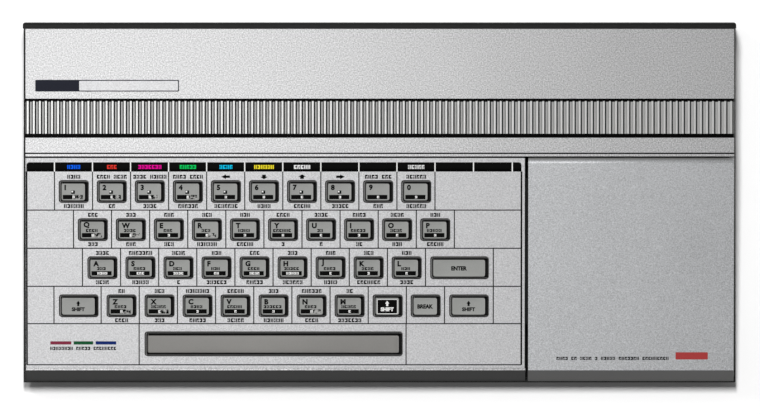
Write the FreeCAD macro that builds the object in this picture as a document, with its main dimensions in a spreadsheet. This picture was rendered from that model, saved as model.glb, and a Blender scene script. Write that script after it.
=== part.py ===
import FreeCAD, Part
import math
import os
from collections import namedtuple
from types import SimpleNamespace

import Sketcher
from FreeCAD import Placement, Rotation, Vector

# A home computer of the 1980s: a black lower shell, a silver upper shell with a sloping
# keyboard deck, 42 sliding keys, a hinged door over a cartridge bay, and the board inside.
# X runs to the right, Y to the rear and Z up. The origin is under the middle of the feet.

# Driving dimensions, in millimetres. Angles, named _angle, are in degrees.
SIZES = {
    # Case
    "case_width": 376.0,
    "case_depth": 190.0,
    "case_height": 44.0,
    "foot_height": 3.0,
    "foot_diameter": 14.0,
    "foot_inset": 20.0,
    "wall": 2.5,
    "floor_wall": 2.5,
    "deck_wall": 2.6,
    "side_step": 1.0,
    "rear_wall": 3.2,
    "rear_drop": 2.5,
    "rear_gap": 0.3,
    "rear_lip": 6.0,
    "rear_corner": 1.5,
    "parting_height": 14.0,
    "under_chamfer": 3.0,
    "deck_rear": 24.0,
    "deck_front": 88.4,
    "deck_fall": 16.5,
    "front_step": 0.5,
    "overrun": 3.0,
    # Ribbed band and the hairline groove in the rear deck
    "band_rear": 54.8,
    "band_front": 34.7,
    "band_depth": 1.3,
    "rib_rear_gap": 1.3,
    "rib_front_gap": 1.6,
    "rib_pitch": 3.195,
    "rib_base": 1.5,
    "rib_crest": 0.9,
    "rib_drop": 0.15,
    "groove_place": 26.1,
    "groove_width": 0.5,
    "groove_depth": 0.6,
    # Keyboard plate and the frame under it
    "plate_thickness": 1.0,
    "plate_left": 186.1,
    "plate_right": 76.9,
    "plate_fit": 0.15,
    "plate_rear_gap": 0.45,
    "plate_front_rim": 1.0,
    "frame_left": 173.5,
    "frame_right": 62.0,
    "frame_rear": 9.0,
    "frame_front": 109.5,
    "frame_fit": 0.5,
    "frame_thickness": 2.5,
    "frame_skirt": 2.0,
    "frame_height": 8.9,
    # Keys
    "key_pitch": 20.05,
    "row_pitch": 20.3,
    "first_key": 161.1,
    "first_row": 18.3,
    "collar_width": 15.5,
    "collar_length": 11.8,
    "bar_length": 12.9,
    "collar_wall": 0.85,
    "collar_corner": 1.2,
    "collar_rise": 0.8,
    "collar_fit": 0.15,
    "cap_gap": 0.35,
    "cap_rise": 3.0,
    "bar_rise": 1.3,
    "cap_bevel": 0.4,
    "flange_gap": 0.1,
    "flange_reach": 0.9,
    "flange_thickness": 0.8,
    "stem_width": 3.6,
    "dome_base": 8.0,
    "dome_top": 4.2,
    "dome_height": 2.8,
    "dome_gap": 0.1,
    "mat_thickness": 0.8,
    "membrane_thickness": 0.4,
    "backplate_thickness": 1.0,
    # Door over the cartridge bay, its hinge and the bay
    "door_thickness": 2.4,
    "door_gap": 1.2,
    "door_seat_gap": 0.2,
    "door_lip_gap": 0.4,
    "pivot_depth": 2.6,
    "pivot_setback": 3.25,
    "barrel_clearance": 0.35,
    "pivot_pin": 1.1,
    "pivot_pin_length": 2.0,
    "pin_clearance": 0.05,
    "nose_radius": 1.6,
    "nose_clearance": 0.2,
    "nose_web": 2.4,
    "nose_web_reach": 4.2,
    "nose_web_angle": 50.0,
    "bay_left": 79.0,
    "bay_side_gap": 0.2,
    "bay_wall": 2.0,
    "bay_floor": 10.2,
    "bay_rear": 16.0,
    "bay_trough_floor": 36.0,
    "bay_trough_rear": 29.0,
    "bay_flange_lap": 2.0,
    "bay_flange_thickness": 1.5,
    "bay_flange_end": 12.0,
    "partition_wall": 2.5,
    "partition_length": 14.0,
    "connector_width": 70.0,
    "connector_height": 9.0,
    "connector_reach": 10.0,
    "connector_lift": 3.0,
    "slot_width": 62.0,
    "slot_height": 2.2,
    "slot_depth": 7.0,
    # Main board and what it carries
    "board_left": 140.0,
    "board_right": 170.0,
    "board_front": 62.0,
    "board_rear": 88.0,
    "board_thickness": 1.6,
    "board_lift": 5.5,
    "board_bay_side": 74.0,
    "board_bay_front": 30.0,
    "tongue_left": 130.0,
    "tongue_width": 70.0,
    "tongue_reach": 6.0,
    "slot_opening_margin": 3.0,
    "slot_opening_height": 12.5,
    "boss_size": 6.0,
    # Screws and their posts
    "post_width": 8.5,
    "screw_shank": 1.45,
    "screw_head": 2.8,
    "screw_head_height": 2.2,
    "screw_bore": 1.5,
    "screw_fit": 0.2,
    "screw_sink": 4.5,
    "screw_length": 15.0,
    "screw_tip_room": 1.0,
    # Joystick sockets
    "stick_left_place": 58.0,
    "stick_right_place": 46.5,
    "stick_height": 27.0,
    "stick_opening_width": 32.5,
    "stick_opening_height": 13.5,
    "recess_wall": 1.5,
    "recess_back": 2.0,
    "stick_recess": 10.0,
    "shell_width": 16.9,
    "shell_height": 8.3,
    "shell_draft": 0.8,
    "shell_wall": 0.6,
    "shell_reach": 6.0,
    "shell_fit": 0.3,
    "stick_flange_width": 30.8,
    "stick_flange_height": 12.5,
    "stick_flange_thickness": 1.0,
    "stick_body_width": 19.0,
    "stick_body_height": 10.5,
    "stick_body_depth": 9.0,
    # Power switch
    "switch_place": 78.0,
    "switch_height": 27.0,
    "switch_recess": 6.0,
    "switch_opening_width": 20.5,
    "switch_opening_height": 14.5,
    "bezel_width": 20.0,
    "bezel_height": 14.0,
    "bezel_thickness": 1.5,
    "switch_body_width": 17.6,
    "switch_body_height": 11.6,
    "switch_body_depth": 14.0,
    "switch_body_fit": 0.2,
    "cavity_width": 15.0,
    "cavity_height": 10.0,
    "cavity_depth": 7.0,
    "rocker_depth": 2.5,
    "rocker_width": 9.4,
    "rocker_length": 13.2,
    "rocker_dip": 2.8,
    "rocker_peak": 4.6,
    "rocker_back": 1.5,
    "rocker_angle": 7.5,
    "trunnion_radius": 1.0,
    "trunnion_length": 0.8,
    # Sockets in the rear wall
    "inlet_place": 130.0,
    "ear_place": 106.0,
    "mic_place": 88.0,
    "monitor_place": 56.0,
    "aerial_place": 24.0,
    "socket_height": 19.0,
    "socket_inset": 0.6,
    "block_wall_gap": 0.4,
    "jack_block_width": 10.0,
    "jack_nose": 3.4,
    "jack_bore": 1.78,
    "jack_bore_depth": 14.0,
    "jack_hole_fit": 0.4,
    "inlet_nose": 4.6,
    "inlet_bore": 3.2,
    "inlet_bore_depth": 9.0,
    "inlet_pin": 1.05,
    "phono_block_width": 13.0,
    "phono_block_depth": 8.0,
    "phono_shell": 4.15,
    "phono_shell_length": 8.0,
    "phono_bore": 1.6,
    "phono_hole": 6.5,
    # Underside vents
    "vent_width": 2.4,
    "vent_length": 26.0,
    "vent_pitch": 6.0,
    "vent_first": 40.0,
    "vent_place": 30.0,
}

# Rows of keys from the rear: the first plain key's place in key pitches from the first
# key of the first row, and the names of the plain keys.
Row = namedtuple("Row", "name start_share keys")
ROWS = [
    Row("digits", 0.0, "1 2 3 4 5 6 7 8 9 0".split()),
    Row("upper", 0.5, "q w e r t y u i o p".split()),
    Row("home", 0.75, "a s d f g h j k l".split()),
    Row("lower", 1.25, "z x c v b n m symbol break".split()),
]

# Wide keys: row number, centre in key pitches as above, and width in key pitches.
WideKey = namedtuple("WideKey", "name row centre_share width_share")
WIDE_KEYS = [
    WideKey("enter", 2, 10.14, 1.75),
    WideKey("shift_left", 3, 0.125, 1.25),
    WideKey("shift_right", 3, 10.39, 1.25),
    WideKey("space", 4, 5.25, 7.0),
]

# Screw posts, as shares of half the case's width and of half its depth.
POST_SHARES = [
    (-0.949, 0.863),
    (-0.16, 0.863),
    (0.8, 0.863),
    (-0.955, 0.05),
    (-0.955, -0.758),
    (0.379, -0.821),
]

# Parts on the board: name, centre as shares of the board's left edge and of its rear edge,
# then width, length and height as shares of the widest chip's length.
BOARD_PART_SHARES = [
    ("processor", -0.42, 0.2, 1.0, 0.28, 0.075),
    ("gate_array", -0.05, 0.12, 0.5, 0.5, 0.075),
    ("memory_1", 0.2, -0.45, 0.14, 0.38, 0.075),
    ("memory_2", 0.3, -0.45, 0.14, 0.38, 0.075),
    ("memory_3", 0.4, -0.45, 0.14, 0.38, 0.075),
    ("memory_4", 0.2, -0.1, 0.14, 0.38, 0.075),
    ("memory_5", 0.3, -0.1, 0.14, 0.38, 0.075),
    ("memory_6", 0.4, -0.1, 0.14, 0.38, 0.075),
    ("program_1", -0.75, -0.35, 0.7, 0.28, 0.075),
    ("program_2", -0.3, -0.35, 0.7, 0.28, 0.075),
    ("sound", -0.05, -0.35, 0.28, 1.0, 0.075),
    ("modulator", 0.17, 0.64, 0.9, 0.52, 0.34),
    ("heat_sink", 0.95, 0.6, 0.9, 0.12, 0.36),
]


class Size:
    """A length, angle or ratio, held as a number and as the formula that gives it."""

    def __init__(self, value, formula):
        self.value = value
        self.formula = formula

    def __add__(self, other):
        other = as_size(other)
        return Size(self.value + other.value, f"({self.formula} + {other.formula})")

    def __sub__(self, other):
        other = as_size(other)
        return Size(self.value - other.value, f"({self.formula} - {other.formula})")

    def __mul__(self, other):
        other = as_size(other)
        return Size(self.value * other.value, f"({self.formula} * {other.formula})")

    def __truediv__(self, other):
        other = as_size(other)
        return Size(self.value / other.value, f"({self.formula} / {other.formula})")

    def __neg__(self):
        return Size(-self.value, f"(-1 * {self.formula})")

    __rmul__ = __mul__
    __radd__ = __add__


def as_size(number):
    """A plain ratio or zero, or a Size as it is."""
    return number if isinstance(number, Size) else Size(number, f"({number!r})")


def sine(angle):
    return Size(math.sin(math.radians(angle.value)), f"sin({angle.formula})")


def cosine(angle):
    return Size(math.cos(math.radians(angle.value)), f"cos({angle.formula})")


def slope_angle(rise, run):
    value = math.degrees(math.atan2(rise.value, run.value))
    return Size(value, f"atan2({rise.formula}; {run.formula})")


def distance(rise, run):
    value = math.hypot(rise.value, run.value)
    return Size(value, f"hypot({rise.formula}; {run.formula})")


doc = FreeCAD.newDocument("HomeComputer")
sheet = doc.addObject("Spreadsheet::Sheet", "Sizes")
for line, (size_name, size_value) in enumerate(SIZES.items(), 1):
    sheet.set(f"A{line}", size_name)
    sheet.set(f"B{line}", str(size_value))
    sheet.setAlias(f"B{line}", size_name)
doc.recompute()
S = SimpleNamespace(**{name: Size(value, f"Sizes.{name}") for name, value in SIZES.items()})
ZERO = as_size(0)
Circle = namedtuple("Circle", "x y radius")
TILT_PLANE = "tilted deck"


# Places that several pieces share

half_width = S.case_width / 2
half_depth = S.case_depth / 2
top_half_width = half_width - S.side_step
top_rear = half_depth - S.rear_wall - S.rear_gap
front_foot = -(half_depth - S.front_step)
deck_run = S.deck_rear + S.deck_front
tilt = slope_angle(S.deck_fall, deck_run)
deck_length = distance(S.deck_fall, deck_run)
front_edge_height = S.case_height - S.deck_fall
front_run = half_depth - S.front_step - S.deck_front
front_angle = slope_angle(front_edge_height - S.parting_height, front_run)
floor_top = S.foot_height + S.floor_wall
deck_under = S.case_height - S.deck_wall
sloped_wall = S.deck_wall + S.plate_thickness
board_under = floor_top + S.board_lift
board_top = board_under + S.board_thickness
door_left = S.plate_right + S.door_gap
bay_right = top_half_width - S.wall - S.bay_side_gap
door_seat = S.door_thickness + S.door_seat_gap
barrel_radius = S.pivot_depth
cap_gap_total = S.collar_wall + S.cap_gap
frame_under = S.plate_thickness + S.frame_thickness
mat_top = S.plate_thickness + S.frame_height
mat_under = mat_top + S.mat_thickness
membrane_under = mat_under + S.membrane_thickness


def deck_point(along, out):
    """A point in the YZ plane: along the sloping deck from its rear edge, and out of it."""
    y = S.deck_rear + along * cosine(tilt) - out * sine(tilt)
    z = S.case_height + along * sine(tilt) + out * cosine(tilt)
    return (y, z)


def front_point(height, inwards):
    """A point in the YZ plane on the front bevel, set back square to it."""
    climb = height - S.parting_height + inwards * cosine(front_angle)
    y = front_foot + climb * cosine(front_angle) / sine(front_angle) + inwards * sine(front_angle)
    return (y, height)


def octagon(x, y, across_x, across_y, corner):
    """Corners of a rectangle whose four corners are cut."""
    half_x = across_x / 2
    half_y = across_y / 2
    near_x = half_x - corner
    near_y = half_y - corner
    return [
        (x - near_x, y - half_y),
        (x + near_x, y - half_y),
        (x + half_x, y - near_y),
        (x + half_x, y + near_y),
        (x + near_x, y + half_y),
        (x - near_x, y + half_y),
        (x - half_x, y + near_y),
        (x - half_x, y - near_y),
    ]


def regular(x, y, half_across):
    """A regular octagon, by half its width across the flats."""
    return octagon(x, y, half_across * 2, half_across * 2, half_across * 2 * OCTAGON_SHARE)


def rectangle(x0, x1, y0, y1):
    return [(x0, y0), (x1, y0), (x1, y1), (x0, y1)]


# Drawing helpers

def bind(thing, path, size):
    thing.setExpression(path, size.formula)


def new_body(label):
    body = doc.addObject("PartDesign::Body", label)
    body.Label = label
    return body


def origin_part(body, role):
    return next(part for part in body.Origin.OriginFeatures if part.Role == role)


def place(body, x, y, z, angle=None, axis=None):
    """Put a body's own frame at a point, turned about an axis."""
    turn = Rotation(axis, angle.value) if angle else Rotation()
    body.Placement = Placement(Vector(x.value, y.value, z.value), turn)
    bind(body, "Placement.Base.x", x)
    bind(body, "Placement.Base.y", y)
    bind(body, "Placement.Base.z", z)
    if angle:
        bind(body, "Placement.Rotation.Angle", angle)


def place_on_deck(body, x, along):
    """Put a body's frame on the sloping deck: its X across, its Y up the slope."""
    y, z = deck_point(along, ZERO)
    place(body, x, y, z, tilt, Vector(1, 0, 0))


def add_loop(sketch, points):
    """A closed run of lines, every corner tied to the sheet."""
    first = sketch.GeometryCount
    count = len(points)
    corners = [Vector(x.value, y.value, 0) for x, y in points]
    lines = [Part.LineSegment(corners[i], corners[(i + 1) % count]) for i in range(count)]
    sketch.addGeometry(lines, False)
    rules = []
    for i in range(count):
        after = first + (i + 1) % count
        rules.append(Sketcher.Constraint("Coincident", first + i, 2, after, 1))
    tied = sketch.ConstraintCount + count
    for i, corner in enumerate(corners):
        rules.append(Sketcher.Constraint("DistanceX", -1, 1, first + i, 1, corner.x))
        rules.append(Sketcher.Constraint("DistanceY", -1, 1, first + i, 1, corner.y))
    sketch.addConstraint(rules)
    for i, (x, y) in enumerate(points):
        bind(sketch, f"Constraints[{tied + 2 * i}]", x)
        bind(sketch, f"Constraints[{tied + 2 * i + 1}]", y)


def add_circle(sketch, circle):
    place_of = sketch.GeometryCount
    centre = Vector(circle.x.value, circle.y.value, 0)
    sketch.addGeometry(Part.Circle(centre, Vector(0, 0, 1), circle.radius.value), False)
    tied = sketch.ConstraintCount
    sketch.addConstraint([
        Sketcher.Constraint("DistanceX", -1, 1, place_of, 3, centre.x),
        Sketcher.Constraint("DistanceY", -1, 1, place_of, 3, centre.y),
        Sketcher.Constraint("Radius", place_of, circle.radius.value),
    ])
    bind(sketch, f"Constraints[{tied}]", circle.x)
    bind(sketch, f"Constraints[{tied + 1}]", circle.y)
    bind(sketch, f"Constraints[{tied + 2}]", circle.radius)


def draw(body, name, role, level, loops):
    """A sketch on one of the body's planes, raised along the plane's normal."""
    sketch = body.newObject("Sketcher::SketchObject", name)
    on_deck = role == TILT_PLANE
    sketch.AttachmentSupport = [(origin_part(body, "XY_Plane" if on_deck else role), "")]
    sketch.MapMode = "FlatFace"
    if on_deck:
        y, z = deck_point(ZERO, level)
        turn = Rotation(Vector(1, 0, 0), tilt.value)
        sketch.AttachmentOffset = Placement(Vector(0, y.value, z.value), turn)
        bind(sketch, "AttachmentOffset.Base.y", y)
        bind(sketch, "AttachmentOffset.Base.z", z)
        bind(sketch, "AttachmentOffset.Rotation.Angle", tilt)
    else:
        sketch.AttachmentOffset = Placement(Vector(0, 0, level.value), Rotation())
        bind(sketch, "AttachmentOffset.Base.z", level)
    for loop in loops:
        if isinstance(loop, Circle):
            add_circle(sketch, loop)
        else:
            add_loop(sketch, loop)
    return sketch


def extrude(body, kind, name, role, level, length, loops):
    sketch = draw(body, name + "_outline", role, level, loops)
    feature = body.newObject(kind, name)
    feature.Profile = sketch
    feature.Refine = False
    feature.Length = length.value
    bind(feature, "Length", length)
    return feature


def pad(body, name, role, level, length, *loops):
    """Material that grows from a level along the plane's normal."""
    return extrude(body, "PartDesign::Pad", name, role, level, length, loops)


def pocket(body, name, role, level, length, *loops):
    """A cut that sinks from a level against the plane's normal."""
    return extrude(body, "PartDesign::Pocket", name, role, level, length, loops)


def pad_across(body, name, x0, x1, *loops):
    """Material between two places across the case, drawn in side view."""
    return pad(body, name, "YZ_Plane", x0, x1 - x0, *loops)


def cut_across(body, name, x0, x1, *loops):
    """A cut between two places across the case, drawn in side view."""
    return pocket(body, name, "YZ_Plane", x1, x1 - x0, *loops)


def pad_up(body, name, z0, z1, *loops):
    return pad(body, name, "XY_Plane", z0, z1 - z0, *loops)


def cut_down(body, name, z0, z1, *loops):
    return pocket(body, name, "XY_Plane", z1, z1 - z0, *loops)


def pad_back(body, name, y0, y1, *loops):
    """Material between two places from front to rear. The plane's normal points forward."""
    return pad(body, name, "XZ_Plane", -y1, y1 - y0, *loops)


def cut_back(body, name, y0, y1, *loops):
    return pocket(body, name, "XZ_Plane", -y0, y1 - y0, *loops)


def repeat(body, name, features, pitch, count):
    """A straight row of features along X."""
    pattern = body.newObject("PartDesign::LinearPattern", name)
    pattern.Originals = features
    pattern.Direction = (origin_part(body, "X_Axis"), [""])
    pattern.Mode = "Spacing"
    pattern.Offset = pitch.value
    bind(pattern, "Offset", pitch)
    pattern.Occurrences = count
    pattern.Refine = False
    body.Tip = pattern
    return pattern


def edges_where(feature, test):
    """Names of a feature's edges whose middle and direction pass a test."""
    names = []
    for number, edge in enumerate(feature.Shape.Edges, 1):
        middle = edge.CenterOfMass
        direction = edge.tangentAt(edge.FirstParameter)
        if test(middle, direction):
            names.append(f"Edge{number}")
    return names


def dress(body, kind, name, base, size, test):
    """A fillet or chamfer on the edges that pass a test."""
    doc.recompute()
    feature = body.newObject(kind, name)
    feature.Base = (base, edges_where(base, test))
    path = "Radius" if kind.endswith("Fillet") else "Size"
    setattr(feature, path, size.value)
    bind(feature, path, size)
    return feature


def near(first, second):
    """Whether two places are the same, to a thousandth of the case's width."""
    return abs(first - second) < SIZES["case_width"] / 1000


# Key places

def key_x(pitches):
    return -S.first_key + S.key_pitch * pitches


def row_along(row):
    return -(S.first_row + S.row_pitch * row)


def outline_width(width_share):
    """Width of a collar: the plain one, plus a pitch for each further key's width."""
    return S.collar_width + S.key_pitch * (width_share - 1)


def collar_length_of(name):
    return S.bar_length if name == "space" else S.collar_length


def post_places():
    return [(half_width * x, half_depth * y) for x, y in POST_SHARES]


# Lower shell

def bottom_case():
    body = new_body("bottom_case")
    rear_top = S.case_height - S.rear_drop
    inner_rear = half_depth - S.rear_wall
    shell = pad_across(body, "shell", -half_width, half_width, [
        (-(half_depth - S.under_chamfer), S.foot_height),
        (half_depth - S.under_chamfer, S.foot_height),
        (half_depth, S.foot_height + S.under_chamfer),
        (half_depth, rear_top),
        (inner_rear, rear_top),
        (inner_rear, S.parting_height),
        (-half_depth, S.parting_height),
        (-half_depth, S.foot_height + S.under_chamfer),
    ])
    sides = dress(body, "PartDesign::Chamfer", "side_chamfers", shell, S.under_chamfer,
                  lambda p, d: near(p.z, SIZES["foot_height"]) and abs(d.y) > 0.9)
    dress(body, "PartDesign::Fillet", "rear_corners", sides, S.rear_corner,
          lambda p, d: near(p.y, half_depth.value) and (
              (abs(d.z) > 0.9 and near(abs(p.x), half_width.value))
              or near(p.z, rear_top.value)))
    inner_half = half_width - S.wall
    cut_across(body, "hollow", -inner_half, inner_half, rectangle(
        -(half_depth - S.wall), inner_rear, floor_top, S.parting_height + S.overrun))
    posts = [regular(x, y, S.post_width / 2) for x, y in post_places()]
    pad_up(body, "posts", S.foot_height + S.floor_wall / 2, S.parting_height, *posts)
    bosses = []
    for x, y in board_corners():
        half = S.boss_size / 2
        bosses.append(rectangle(x - half, x + half, y - half, y + half))
    pad_up(body, "board_bosses", floor_top, board_under, *bosses)
    wells = [regular(x, y, S.screw_head + S.screw_fit) for x, y in post_places()]
    bores = [regular(x, y, S.screw_shank + S.screw_fit) for x, y in post_places()]
    cut_down(body, "screw_wells", S.foot_height - S.overrun, S.foot_height + S.screw_sink, *wells)
    cut_down(body, "screw_bores", S.foot_height, S.parting_height + S.overrun, *bores)
    holes = [
        regular(S.inlet_place, S.socket_height, S.inlet_nose + S.jack_hole_fit),
        regular(S.ear_place, S.socket_height, S.jack_nose + S.jack_hole_fit),
        regular(S.mic_place, S.socket_height, S.jack_nose + S.jack_hole_fit),
        regular(S.monitor_place, S.socket_height, S.phono_hole),
        regular(S.aerial_place, S.socket_height, S.phono_hole),
        rectangle(-(S.tongue_left + S.slot_opening_margin),
                  -(S.tongue_left - S.tongue_width - S.slot_opening_margin),
                  floor_top, floor_top + S.slot_opening_height),
    ]
    cut_back(body, "rear_holes", inner_rear - S.overrun, half_depth + S.overrun, *holes)
    first = cut_down(body, "vent", S.foot_height - S.overrun, floor_top + S.overrun, rectangle(
        S.vent_first, S.vent_first + S.vent_width,
        S.vent_place, S.vent_place + S.vent_length))
    repeat(body, "vents", [first], S.vent_pitch, VENT_COUNT)


def board_corners():
    """Where the board rests on the floor's bosses."""
    inset = S.boss_size
    return [
        (-(S.board_left - inset), -(S.board_front - inset)),
        (S.board_bay_side - inset, -(S.board_front - inset)),
        (-(S.board_left - inset), S.board_rear - inset * 4),
        (S.board_right - inset * 4, S.board_bay_front + inset * 2),
    ]


# Upper shell

def top_case():
    body = new_body("top_case")
    height = S.case_height
    pad_across(body, "shell", -top_half_width, top_half_width, [
        (front_foot, S.parting_height),
        (-S.deck_front, front_edge_height),
        (S.deck_rear, height),
        (top_rear, height),
        (top_rear, height - S.rear_lip),
        (top_rear, S.parting_height),
    ])
    inner_half = top_half_width - S.wall
    inner_front = front_point(front_edge_height - sloped_wall, S.wall)
    cut_across(body, "hollow", -inner_half, inner_half, [
        (front_point(S.parting_height, S.wall)[0], S.parting_height - S.overrun),
        front_point(S.parting_height, S.wall),
        inner_front,
        deck_point(-(deck_length - sloped_wall * 2), -sloped_wall),
        deck_point(-S.overrun, -sloped_wall),
        (S.deck_rear, deck_under),
        (top_rear - S.wall, deck_under),
        (top_rear - S.wall, height - S.rear_lip),
        (top_rear + S.overrun, height - S.rear_lip),
        (top_rear + S.overrun, S.parting_height - S.overrun),
    ])
    partition(body)
    for side, place_y in ((-1, S.stick_left_place), (1, S.stick_right_place)):
        name = "left" if side < 0 else "right"
        side_recess(body, "stick_" + name, side, place_y, S.stick_height,
                    S.stick_opening_width, S.stick_opening_height, S.stick_recess,
                    shell_outline(place_y, S.stick_height, S.shell_fit))
    hole_half_width = S.switch_body_width / 2 + S.switch_body_fit
    hole_half_height = S.switch_body_height / 2 + S.switch_body_fit
    side_recess(body, "switch", 1, S.switch_place, S.switch_height,
                S.switch_opening_width, S.switch_opening_height, S.switch_recess,
                rectangle(S.switch_place - hole_half_width, S.switch_place + hole_half_width,
                          S.switch_height - hole_half_height, S.switch_height + hole_half_height))
    for number, (x, y) in enumerate(post_places(), 1):
        pad_up(body, f"post_{number}", S.parting_height, post_top(y),
               regular(x, y, S.post_width / 2))
    bores = [regular(x, y, S.screw_bore) for x, y in post_places()]
    screw_end = S.foot_height + S.screw_sink + S.screw_length
    cut_down(body, "screw_bores", S.parting_height - S.overrun,
             screw_end + S.screw_tip_room, *bores)
    bay_opening(body)
    keyboard_seat(body)
    rib_band(body)


def post_top(y):
    """Height at which a post ends inside the deck above it."""
    if y.value > SIZES["deck_rear"]:
        return deck_under + S.deck_wall / 4
    along = (y - S.deck_rear) / cosine(tilt)
    return deck_point(along, -(S.plate_thickness + S.deck_wall / 2))[1]


def partition(body):
    """A rib that closes the shell beside the bay's front."""
    back = front_foot + S.partition_length
    along = (back - S.deck_rear) / cosine(tilt)
    pad_across(body, "bay_partition", S.plate_right - S.partition_wall, S.plate_right, [
        front_point(S.parting_height, S.wall / 2),
        (back, S.parting_height),
        deck_point(along, -S.plate_thickness - S.deck_wall / 2),
        front_point(front_edge_height - sloped_wall, S.wall / 2),
    ])


def side_recess(body, name, side, y, z, width, height, depth, hole):
    """A box that leads in from the side wall to a socket's flange, with the socket's hole."""
    outer = top_half_width
    inner = outer - depth - S.recess_back
    half_box_y = width / 2 + S.recess_wall
    half_box_z = height / 2 + S.recess_wall
    x0, x1 = across(side, inner, outer - S.wall / 2)
    pad_across(body, name + "_box", x0, x1, rectangle(
        y - half_box_y, y + half_box_y, z - half_box_z, z + half_box_z))
    x0, x1 = across(side, outer - depth, outer + S.overrun)
    cut_across(body, name + "_recess", x0, x1, rectangle(
        y - width / 2, y + width / 2, z - height / 2, z + height / 2))
    x0, x1 = across(side, inner - S.overrun, outer)
    cut_across(body, name + "_hole", x0, x1, hole)


def across(side, inner, outer):
    """Two distances from the middle, in order, on the left or the right."""
    return (inner, outer) if side > 0 else (-outer, -inner)


def shell_outline(y, z, grown):
    """The D shape of a nine-way shell, grown all round."""
    half = S.shell_width / 2 + grown
    top = S.shell_height / 2 + grown
    return [
        (y - half + S.shell_draft, z - top),
        (y + half - S.shell_draft, z - top),
        (y + half, z + top),
        (y - half, z + top),
    ]


def bay_opening(body):
    """The deck and the bevel are open over the bay, and the side wall is lowered for the door."""
    cut_across(body, "bay_window", S.plate_right, top_half_width - S.wall, rectangle(
        -(half_depth + S.overrun), S.deck_rear,
        S.parting_height, S.case_height + S.overrun))
    wall_side = top_half_width - S.wall - S.side_step
    out = top_half_width + S.overrun
    edge = deck_point(-deck_length, -door_seat)
    cut_across(body, "door_seat", wall_side, out, [
        deck_point(-deck_length - S.overrun, S.overrun),
        deck_point(-deck_length - S.overrun, -door_seat),
        deck_point(ZERO, -door_seat),
        deck_point(ZERO, S.overrun),
    ])
    cut_across(body, "lip_seat", wall_side, out, [
        (front_foot - S.overrun, S.parting_height),
        front_point(S.parting_height, door_seat),
        front_point(edge[1] + S.overrun, door_seat),
        (front_foot - S.overrun, edge[1] + S.overrun),
    ])
    pivot_y, pivot_z = pivot_point()
    cut_across(body, "hinge_clearance", wall_side, out,
               Circle(pivot_y, pivot_z, barrel_radius + S.barrel_clearance / 2))


def keyboard_seat(body):
    """The recess for the keyboard plate, and the window for the frame under it."""
    pocket(body, "plate_recess", TILT_PLANE, ZERO, S.plate_thickness, rectangle(
        -(S.plate_left + S.plate_fit), S.plate_right + S.overrun,
        -(deck_length - S.plate_front_rim), ZERO))
    pocket(body, "frame_window", TILT_PLANE, ZERO, sloped_wall + S.overrun, rectangle(
        -(S.frame_left + S.frame_fit), S.frame_right + S.frame_fit,
        -(S.frame_front + S.frame_fit), -(S.frame_rear - S.frame_fit)))


def rib_band(body):
    """The recessed band, its ribs, and the hairline groove in front of it."""
    height = S.case_height
    out = top_half_width + S.overrun
    band_floor = height - S.band_depth
    cut_across(body, "band", -out, out, rectangle(
        S.band_front, S.band_rear, band_floor, height + S.overrun))
    cut_across(body, "groove", -out, out, rectangle(
        S.groove_place - S.groove_width / 2, S.groove_place + S.groove_width / 2,
        height - S.groove_depth, height + S.overrun))
    room = SIZES["case_width"] - 2 * SIZES["side_step"] - SIZES["rib_base"]
    count = int(room / SIZES["rib_pitch"]) + 1
    first = -(S.rib_pitch * ((count - 1) / 2))
    rib_top = height - S.rib_drop
    rib = pad_back(body, "rib", S.band_front + S.rib_front_gap, S.band_rear - S.rib_rear_gap, [
        (first - S.rib_base / 2, band_floor - S.band_depth / 4),
        (first + S.rib_base / 2, band_floor - S.band_depth / 4),
        (first + S.rib_base / 2, band_floor),
        (first + S.rib_crest / 2, rib_top),
        (first - S.rib_crest / 2, rib_top),
        (first - S.rib_base / 2, band_floor),
    ])
    repeat(body, "ribs", [rib], S.rib_pitch, count)


# Keyboard

def all_keys():
    """Every key's name, row, centre in key pitches and width in key pitches."""
    plain = [WideKey(name, number, row.start_share + place_in_row, 1)
             for number, row in enumerate(ROWS)
             for place_in_row, name in enumerate(row.keys)]
    return plain + WIDE_KEYS


def collar_outline(spot, grown, corner):
    """The outline of a key's collar, larger by a margin all round."""
    return octagon(key_x(spot.centre_share), row_along(spot.row),
                   outline_width(spot.width_share) + grown * 2,
                   collar_length_of(spot.name) + grown * 2, corner)


def at_every_key(body, name, make, low, high, grown, corner):
    """The same feature at every key: a pattern for each row of plain keys, then the wide keys."""
    for number, row in enumerate(ROWS):
        spot = WideKey(row.keys[0], number, row.start_share, 1)
        first = make(body, f"{name}_{row.name}", low, high, collar_outline(spot, grown, corner))
        repeat(body, f"{name}_{row.name}_row", [first], S.key_pitch, len(row.keys))
    wide = [collar_outline(spot, grown, corner) for spot in WIDE_KEYS]
    make(body, name + "_wide", low, high, *wide)


def keyboard_faceplate():
    body = new_body("keyboard_faceplate")
    place_on_deck(body, ZERO, ZERO)
    pad_up(body, "plate", -S.plate_thickness, ZERO, rectangle(
        -S.plate_left, S.plate_right,
        -(deck_length - S.plate_front_rim - S.plate_fit), -S.plate_rear_gap))
    at_every_key(body, "hole", cut_down, -S.plate_thickness - S.overrun, S.overrun,
                 S.collar_fit, S.collar_corner + S.collar_fit)


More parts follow.
